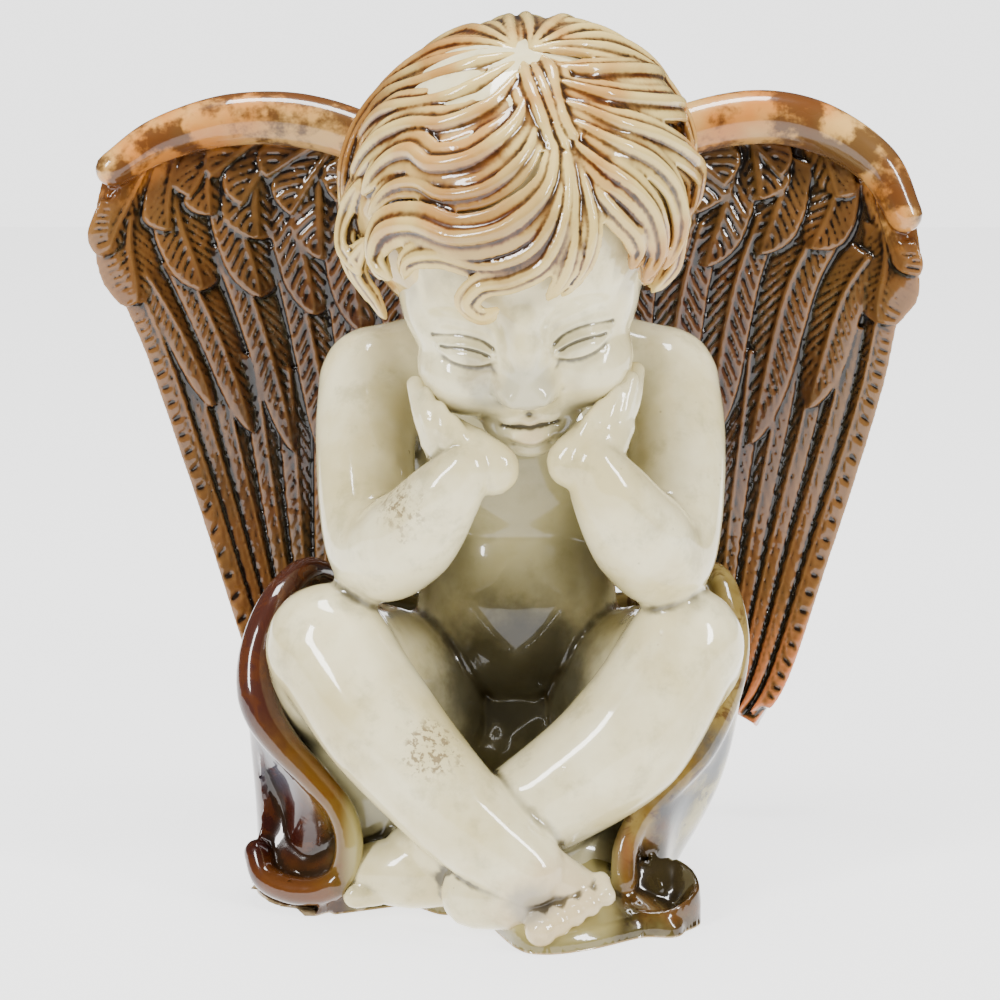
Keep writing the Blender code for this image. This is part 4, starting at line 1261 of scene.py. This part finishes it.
class Pot:
    """A material in the making: its tree and the few measures that every glaze reads, in millimetres."""

    def __init__(self, name):
        self.material = bpy.data.materials.new(name)
        self.material.use_nodes = True
        self.tree = self.material.node_tree
        self.shader = self.tree.nodes["Principled BSDF"]
        place = node(self.tree, "ShaderNodeTexCoord", {}, {}, "Object")
        place = self.vector_maths("SUBTRACT", {0: place, 1: tuple(shift)})
        self.place = self.vector_maths("SCALE", {0: place, "Scale": 1 / MM})
        self.cut = self.fact("cut")
        self.hollow = self.fact("hollow")
        self.shelter = self.fact("shelter")
        self.x, self.y, self.z = parts_of(self.place)

    def vector_maths(self, operation, values, output=0):
        return node(self.tree, "ShaderNodeVectorMath", {"operation": operation}, values, output)

    def fact(self, name):
        return node(self.tree, "ShaderNodeAttribute", {"attribute_name": name}, {}, "Fac")

    def noise(self, size, detail=4.0, roughness=0.55, distortion=0.0):
        """Cloudy noise from 0 to 1, with clouds of about the given size."""
        values = {"Scale": 1 / size, "Detail": detail, "Roughness": roughness, "Distortion": distortion}
        return node(self.tree, "ShaderNodeTexNoise", {}, {"Vector": self.place, **values})

    def specks(self, spacing, size):
        """Round specks: 1 in their middles, 0 between them."""
        values = {"Vector": self.place, "Scale": 1 / spacing, "Randomness": 1.0}
        return 1 - node(self.tree, "ShaderNodeTexVoronoi", {}, values).rising(size * 0.4, size)

    def dab(self, centre, radius, ragged=0.35, grain=6):
        """A soft spot about a place, with a rough edge. The pots lay both stains of glaze and painted shade
        with it.
        """
        offset = self.vector_maths("DISTANCE", {0: self.place, 1: centre}, "Value")
        edge = offset / radius + (self.noise(grain) - 0.5) * (2 * ragged)
        return 1 - edge.rising(0.5, 1.1)

    def fire(self, colour, roughness):
        """Joins colour and roughness to the shader, under a clear coat on gently uneven clay."""
        tree, shader = self.tree, self.shader
        tree.links.new(colour.socket, shader.inputs["Base Color"])
        tree.links.new(roughness.socket, shader.inputs["Roughness"])
        gloss = {"Coat Weight": 0.9, "Coat Roughness": 0.04, "Specular IOR Level": 0.12, "IOR": 1.5}
        for socket, value in gloss.items():
            shader.inputs[socket].default_value = value
        values = {"Strength": 0.5, "Distance": 0.6 * MM, "Height": self.noise(UNEVEN_SIZE, 2.0)}
        tree.links.new(node(tree, "ShaderNodeBump", {}, values).socket, shader.inputs["Normal"])
        return self.material


# %% Cream for the skin

CREAM = shade(206, 192, 140)
IVORY = shade(232, 223, 182)
OLIVE_GREY = shade(112, 104, 62)
DARK_OLIVE = shade(44, 34, 14)
BROWN_SPECK = shade(84, 52, 22)
BLUE_GREY = shade(112, 118, 124)
TOE_TAN = shade(170, 122, 62)
LAP_BROWN = shade(22, 16, 8)
PINK_CLAY = shade(176, 128, 104)


def on_face(across, forward, up):
    """Where a place on the upright head comes to lie once the head leans."""
    return tuple(HEAD_TURN @ np.array((across, forward, up)) + HEAD_CENTRE)


def skin_glaze(name, fineness):
    """Cream glaze, with olive and dark brown painted in as shade. On fine carving a smaller cut already
    holds glaze.
    """
    pot = Pot(name)
    clouds = pot.noise(30, 4.0)
    mottle = pot.noise(13, 5.0, 0.65).rising(0.5, 0.72)
    shelter = pot.shelter.rising(0.3, 0.9)
    pooled = pot.cut.rising(0.05 * fineness, 0.26 * fineness)
    deep = pot.hollow.rising(0.5 * fineness, 2.0 * fineness)
    specks = pot.specks(6, 0.09) * pot.noise(20).rising(0.5, 0.7)
    grit = pot.noise(2.2, 2.0, 0.7).rising(0.48, 0.6)
    worn_shin = pot.dab((-23, -80, 60), 11, 0.5, 3)
    colour = layered(
        mixed(clouds.rising(0.3, 0.7), CREAM, IVORY),
        (mottle * 0.3, OLIVE_GREY),
        # Painted shade: olive where the figure shelters the skin from open light.
        (shelter * 0.7, OLIVE_GREY),
        # Olive in broad hollows: partly glaze gathered there, partly painted shade.
        (deep * 0.55, OLIVE_GREY),
        # Painted shade: olive over the belly and chest between the arms.
        (pot.dab((4, -20, 116), 40, 0.25, 14) * 0.65, OLIVE_GREY),
        # Painted shade: dark brown in the lap.
        (pot.dab((4, -26, 66), 34, 0.25, 14) * 0.85, LAP_BROWN),
        (pot.dab((16, -90, 10), 24, 0.3) * 0.4, TOE_TAN),
        (pot.dab((8, -90, 15), 9, 0.3) * 0.5, BLUE_GREY),
        (pot.dab(on_face(0, -58, -28), 12, 0.3) * 0.35, BLUE_GREY),
        (pot.dab(on_face(-12, -50, -34), 7, 0.4) * 0.4, BLUE_GREY),
        (pot.dab(on_face(-15, -50, -26), 8, 0.5, 4) * 0.4, BROWN_SPECK),
        # Painted shade: olive in both eye sockets.
        (pot.dab(on_face(-17, -50, -16), 9, 0.3) * 0.35, OLIVE_GREY),
        (pot.dab(on_face(17, -50, -16), 9, 0.3) * 0.35, OLIVE_GREY),
        (pot.dab(on_face(0, -54, -46), 8, 0.3) * 0.3, PINK_CLAY),
        (pooled * 0.85, DARK_OLIVE),
        (specks * 0.6, BROWN_SPECK),
        (pot.dab((-28, -66, 132), 11, 0.6, 4) * grit * 0.7, BROWN_SPECK),
        (worn_shin * grit * 0.7, BROWN_SPECK),
    )
    return pot.fire(colour, 0.1 + 0.2 * pot.noise(20) + 0.4 * worn_shin)


# %% Amber and cream for the hair

HAIR_CREAM = shade(208, 182, 112)
HAIR_PEACH = shade(182, 134, 70)
TAWNY = shade(120, 74, 28)
AMBER = shade(92, 48, 12)
UMBER = shade(32, 19, 8)


def hair_glaze(name):
    pot = Pot(name)
    peach = pot.noise(40, 3.0).rising(0.45, 0.65)
    pooled = pot.cut.rising(-0.04, 0.12)
    deep = pot.cut.rising(0.04, 0.22)
    amber = pot.noise(20, 4.0).rising(0.4, 0.65)
    colour = layered(
        mixed(peach, HAIR_CREAM, HAIR_PEACH),
        (pot.dab((-40, -5, 252), 42, 0.5, 16) * 0.7, TAWNY),
        (pot.dab((54, -20, 208), 26, 0.5, 12) * 0.5, TAWNY),
        (pot.dab((-4, -86, 224), 24, 0.5, 10) * 0.5, TAWNY),
        (pot.hollow.rising(-0.05, 0.7) * 0.7, AMBER),
        (pooled * (0.6 + 0.4 * amber), AMBER),
        (deep * 0.9, UMBER),
        # Painted shade: umber where the figure shelters the hair from open light.
        (pot.shelter.rising(0.45, 0.95) * 0.5, UMBER),
    )
    return pot.fire(colour, 0.16 + 0.2 * pot.noise(20))


# %% Tan and dark brown for the wings

TAN = shade(98, 60, 28)
OCHRE = shade(78, 54, 24)
LIGHT_TAN = shade(150, 106, 58)
RIM_PEACH = shade(190, 120, 52)
RIM_CREAM = shade(200, 156, 88)
CHESTNUT = shade(52, 24, 11)
NEAR_BLACK = shade(9, 5, 3)
ROSE = shade(204, 118, 72)


def wing_glaze(name, side):
    pot = Pot(name)
    pooled = pot.cut.rising(-0.01, 0.12)
    ridge = (0 - pot.cut).rising(0.0, 0.2)
    hollow = pot.hollow.rising(-0.05, 0.45)
    rim = pot.fact("rim")
    patches = pot.noise(22, 5.0, 0.6).rising(0.44, 0.54)
    warm = pot.noise(35, 3.0).rising(0.4, 0.65)
    low = 1 - pot.z.rising(40, 130)
    outer = (pot.x * side).rising(70, 125)
    body_colour = layered(
        mixed(warm, TAN, OCHRE),
        (pot.dab((68 * side, 48, 150), 58, 0.4, 24) * 0.7, CHESTNUT),
        (ridge * (0.35 + 0.4 * low), LIGHT_TAN),
        (outer * 0.35, LIGHT_TAN),
        # Painted shade: chestnut where the figure shelters the wing from open light.
        (pot.shelter.rising(0.2, 0.7) * 0.6, CHESTNUT),
        (hollow * 0.85, NEAR_BLACK),
        (pooled * 0.92, NEAR_BLACK),
    )
    rim_colour = layered(
        mixed(warm, RIM_PEACH, RIM_CREAM),
        (patches * 0.85, CHESTNUT),
        (pooled * 0.8, AMBER),
    )
    colour = mixed(rim.rising(0.35, 0.65), body_colour, rim_colour)
    if side > 0:
        colour = mixed((1 - pot.z.rising(45, 85)) * ridge * 0.8, colour, ROSE)
    return pot.fire(colour, 0.14 + 0.25 * pot.noise(20))


# %% Amber, olive and slate for the cloth

MAUVE_BROWN = shade(62, 32, 24)
YELLOW = shade(120, 84, 20)
OLIVE = shade(66, 58, 24)
RED_BROWN = shade(46, 13, 6)
SLATE = shade(40, 54, 70)
PALE_OLIVE = shade(160, 148, 92)
ORANGE_BROWN = shade(94, 54, 17)
DARK_GREEN = shade(24, 28, 13)
PINK_BROWN = shade(122, 74, 48)
BISCUIT = shade(176, 152, 112)


def cloth_glaze(name):
    pot = Pot(name)
    hem = pot.fact("hem")
    warm = pot.noise(30, 4.0).rising(0.4, 0.65)
    runs = pot.noise(9, 4.0, 0.6, 1.2).rising(0.5, 0.62)
    pooled = pot.cut.rising(0.02, 0.3)
    left = 1 - pot.x.rising(-48, -36)
    right = pot.x.rising(28, 40)
    between_ends = (1 - pot.x.rising(30, 38)) * pot.x.rising(-52, -46)
    under_feet = (1 - pot.y.rising(-50, -40)) * between_ends
    left_colour = layered(
        mixed(warm, MAUVE_BROWN, CHESTNUT),
        (pot.dab((-46, -60, 24), 20) * 0.8, OLIVE),
        (hem * pot.dab((-58, -58, 34), 34) * 0.9, YELLOW),
        (pot.dab((-70, -42, 44), 15) * 0.6, SLATE),
        (pot.dab((-68, -46, 20), 19) * 0.85, RED_BROWN),
        (pot.dab((-66, -60, 7), 17) * 0.7, ORANGE_BROWN),
        (pot.dab((-76, -36, 80), 28) * 0.7, MAUVE_BROWN),
        (runs * 0.35, AMBER),
    )
    right_colour = layered(
        mixed(warm, PALE_OLIVE, OLIVE),
        (runs * 0.7, DARK_OLIVE),
        (hem * 0.9, mixed(runs, YELLOW, AMBER)),
        (pot.dab((64, -46, 50), 13, 0.4, 5) * 0.75, SLATE),
        (pot.dab((53, -56, 32), 12, 0.4, 5) * 0.75, SLATE),
        (pot.dab((33, -68, 24), 9) * 0.7, PINK_BROWN),
        (pot.dab((53, -68, 14), 20) * 0.85, ORANGE_BROWN),
        (pot.dab((51, -66, 14), 15, 0.3, 8) * 0.85, DARK_GREEN),
    )
    back_clouds = pot.noise(20).rising(0.5, 0.7)
    back_colour = layered(mixed(warm, OLIVE, MAUVE_BROWN), (back_clouds * 0.6, AMBER))
    resting = 1 - pot.z.rising(0.2, 0.8)
    colour = layered(
        back_colour,
        (left, left_colour),
        (right, right_colour),
        (under_feet, PALE_OLIVE),
        (pooled * 0.75, LAP_BROWN),
        (pot.hollow.rising(0.5, 2.5) * 0.5, DARK_OLIVE),
        ((1 - pot.z.rising(2, 7)) * 0.5, DARK_OLIVE),
        (resting, BISCUIT),
    )
    return pot.fire(colour, 0.12 + 0.2 * pot.noise(20) + 0.5 * resting)


# %% Where the rim and the hem are


def nearness(mesh, path, reach):
    """1 on a path of millimetre points and 0 a reach away from it."""
    tree = kept_places(through(path, 12 * len(path)) * MM + shift)
    distances = np.array([tree.find(point)[2] for point in points_of(mesh)])
    return np.clip(1 - distances / (reach * MM), 0, 1)


RIM_REACH = 22
HEM_REACH = 10
for name, wing in WINGS.items():
    keep(pieces[name].data, "rim", nearness(pieces[name].data, rim_line(wing), RIM_REACH))
keep(pieces["cloth"].data, "hem", nearness(pieces["cloth"].data, CLOTH_EDGE, HEM_REACH))

# %% Glaze the pieces

glazes = {
    "figure": skin_glaze("skin_glaze", 1.0),
    "face": skin_glaze("face_glaze", 0.8),
    "hair": hair_glaze("hair_glaze"),
    "wing_left": wing_glaze("wing_glaze_left", -1),
    "wing_right": wing_glaze("wing_glaze_right", 1),
    "cloth": cloth_glaze("cloth_glaze"),
}
for name, piece in pieces.items():
    piece.data.materials.clear()
    piece.data.materials.append(glazes[name])
    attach(piece, "root")
    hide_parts(CAD_NODE)

# %% [markdown]
# ## Studio
#
# The photograph is a product shot: a pale ground, soft light from above and both sides, and the small
# bright windows of the lamps mirrored in the glaze. The open backdrop is brighter to the eye than the light
# that it gives, so that the shadows in the carving stay deep.

# %% Floor and backdrop

FLOOR_SIZE = 3.0
floor_mesh = bpy.data.meshes.new("floor")
corner = FLOOR_SIZE / 2
corners = [(-corner, -corner, 0), (corner, -corner, 0), (corner, corner, 0), (-corner, corner, 0)]
floor_mesh.from_pydata(corners, [], [[0, 1, 2, 3]])
floor = bpy.data.objects.new("floor", floor_mesh)
bpy.context.scene.collection.objects.link(floor)
floor_paint = bpy.data.materials.new("floor_paint")
floor_paint.use_nodes = True
WHITE = (1, 1, 1, 1)
paint = {
    "Base Color": shade(150, 150, 150), "Roughness": 0.9,
    "Emission Color": WHITE, "Emission Strength": 2.3,
}
for socket, value in paint.items():
    floor_paint.node_tree.nodes["Principled BSDF"].inputs[socket].default_value = value
floor_mesh.materials.append(floor_paint)

SOFT_FILL = 0.1
BACKDROP = 2.7
world = bpy.data.worlds.new("studio")
world.use_nodes = True
seen = node(world.node_tree, "ShaderNodeLightPath", {}, {}, "Is Camera Ray")
strength = SOFT_FILL + seen * (BACKDROP - SOFT_FILL)
background = world.node_tree.nodes["Background"]
background.inputs["Color"].default_value = WHITE
world.node_tree.links.new(strength.socket, background.inputs["Strength"])
bpy.context.scene.world = world

# %% Lamps


def lamp(name, place, aim, size, power):
    light = bpy.data.lights.new(name, "AREA")
    light.shape = "RECTANGLE"
    light.size, light.size_y = size
    light.energy = power
    holder = bpy.data.objects.new(name, light)
    holder.location = place
    holder.rotation_euler = (Vector(aim) - Vector(place)).to_track_quat("-Z", "Y").to_euler()
    bpy.context.scene.collection.objects.link(holder)


MIDDLE = (0, 0, 0.14)
lamp("left_window", (-0.9, -0.8, 1.0), MIDDLE, size=(0.22, 0.7), power=27)
lamp("right_window", (1.0, -0.7, 0.8), MIDDLE, size=(0.18, 0.6), power=21)
lamp("overhead", (0.0, 0.1, 1.4), MIDDLE, size=(0.6, 0.4), power=30)

# %% Camera

CAMERA_DISTANCE = 1.0
CAMERA_ELEVATION = 12.0
FOCAL_PIXELS = 3078
IMAGE_PIXELS = 1000
PRINCIPAL_POINT = (505, 440)
SENSOR = 36.0

tilt = math.radians(CAMERA_ELEVATION)
forward = np.array((0, math.cos(tilt), -math.sin(tilt)))
up = np.array((0, math.sin(tilt), math.cos(tilt)))
right = np.array((1.0, 0, 0))
target = np.array(MIDDLE) + shift * (1, 1, 0)
eye = target - forward * CAMERA_DISTANCE
across, down = ((IMAGE_PIXELS / 2 - pixel) / FOCAL_PIXELS for pixel in PRINCIPAL_POINT)
look = forward + right * across - up * down
camera_data = bpy.data.cameras.new("camera")
camera_data.sensor_width = SENSOR
camera_data.lens = FOCAL_PIXELS / IMAGE_PIXELS * SENSOR
camera = bpy.data.objects.new("camera", camera_data)
camera.location = eye
camera.rotation_euler = Vector(look).to_track_quat("-Z", "Y").to_euler()
bpy.context.scene.collection.objects.link(camera)
bpy.context.scene.camera = camera
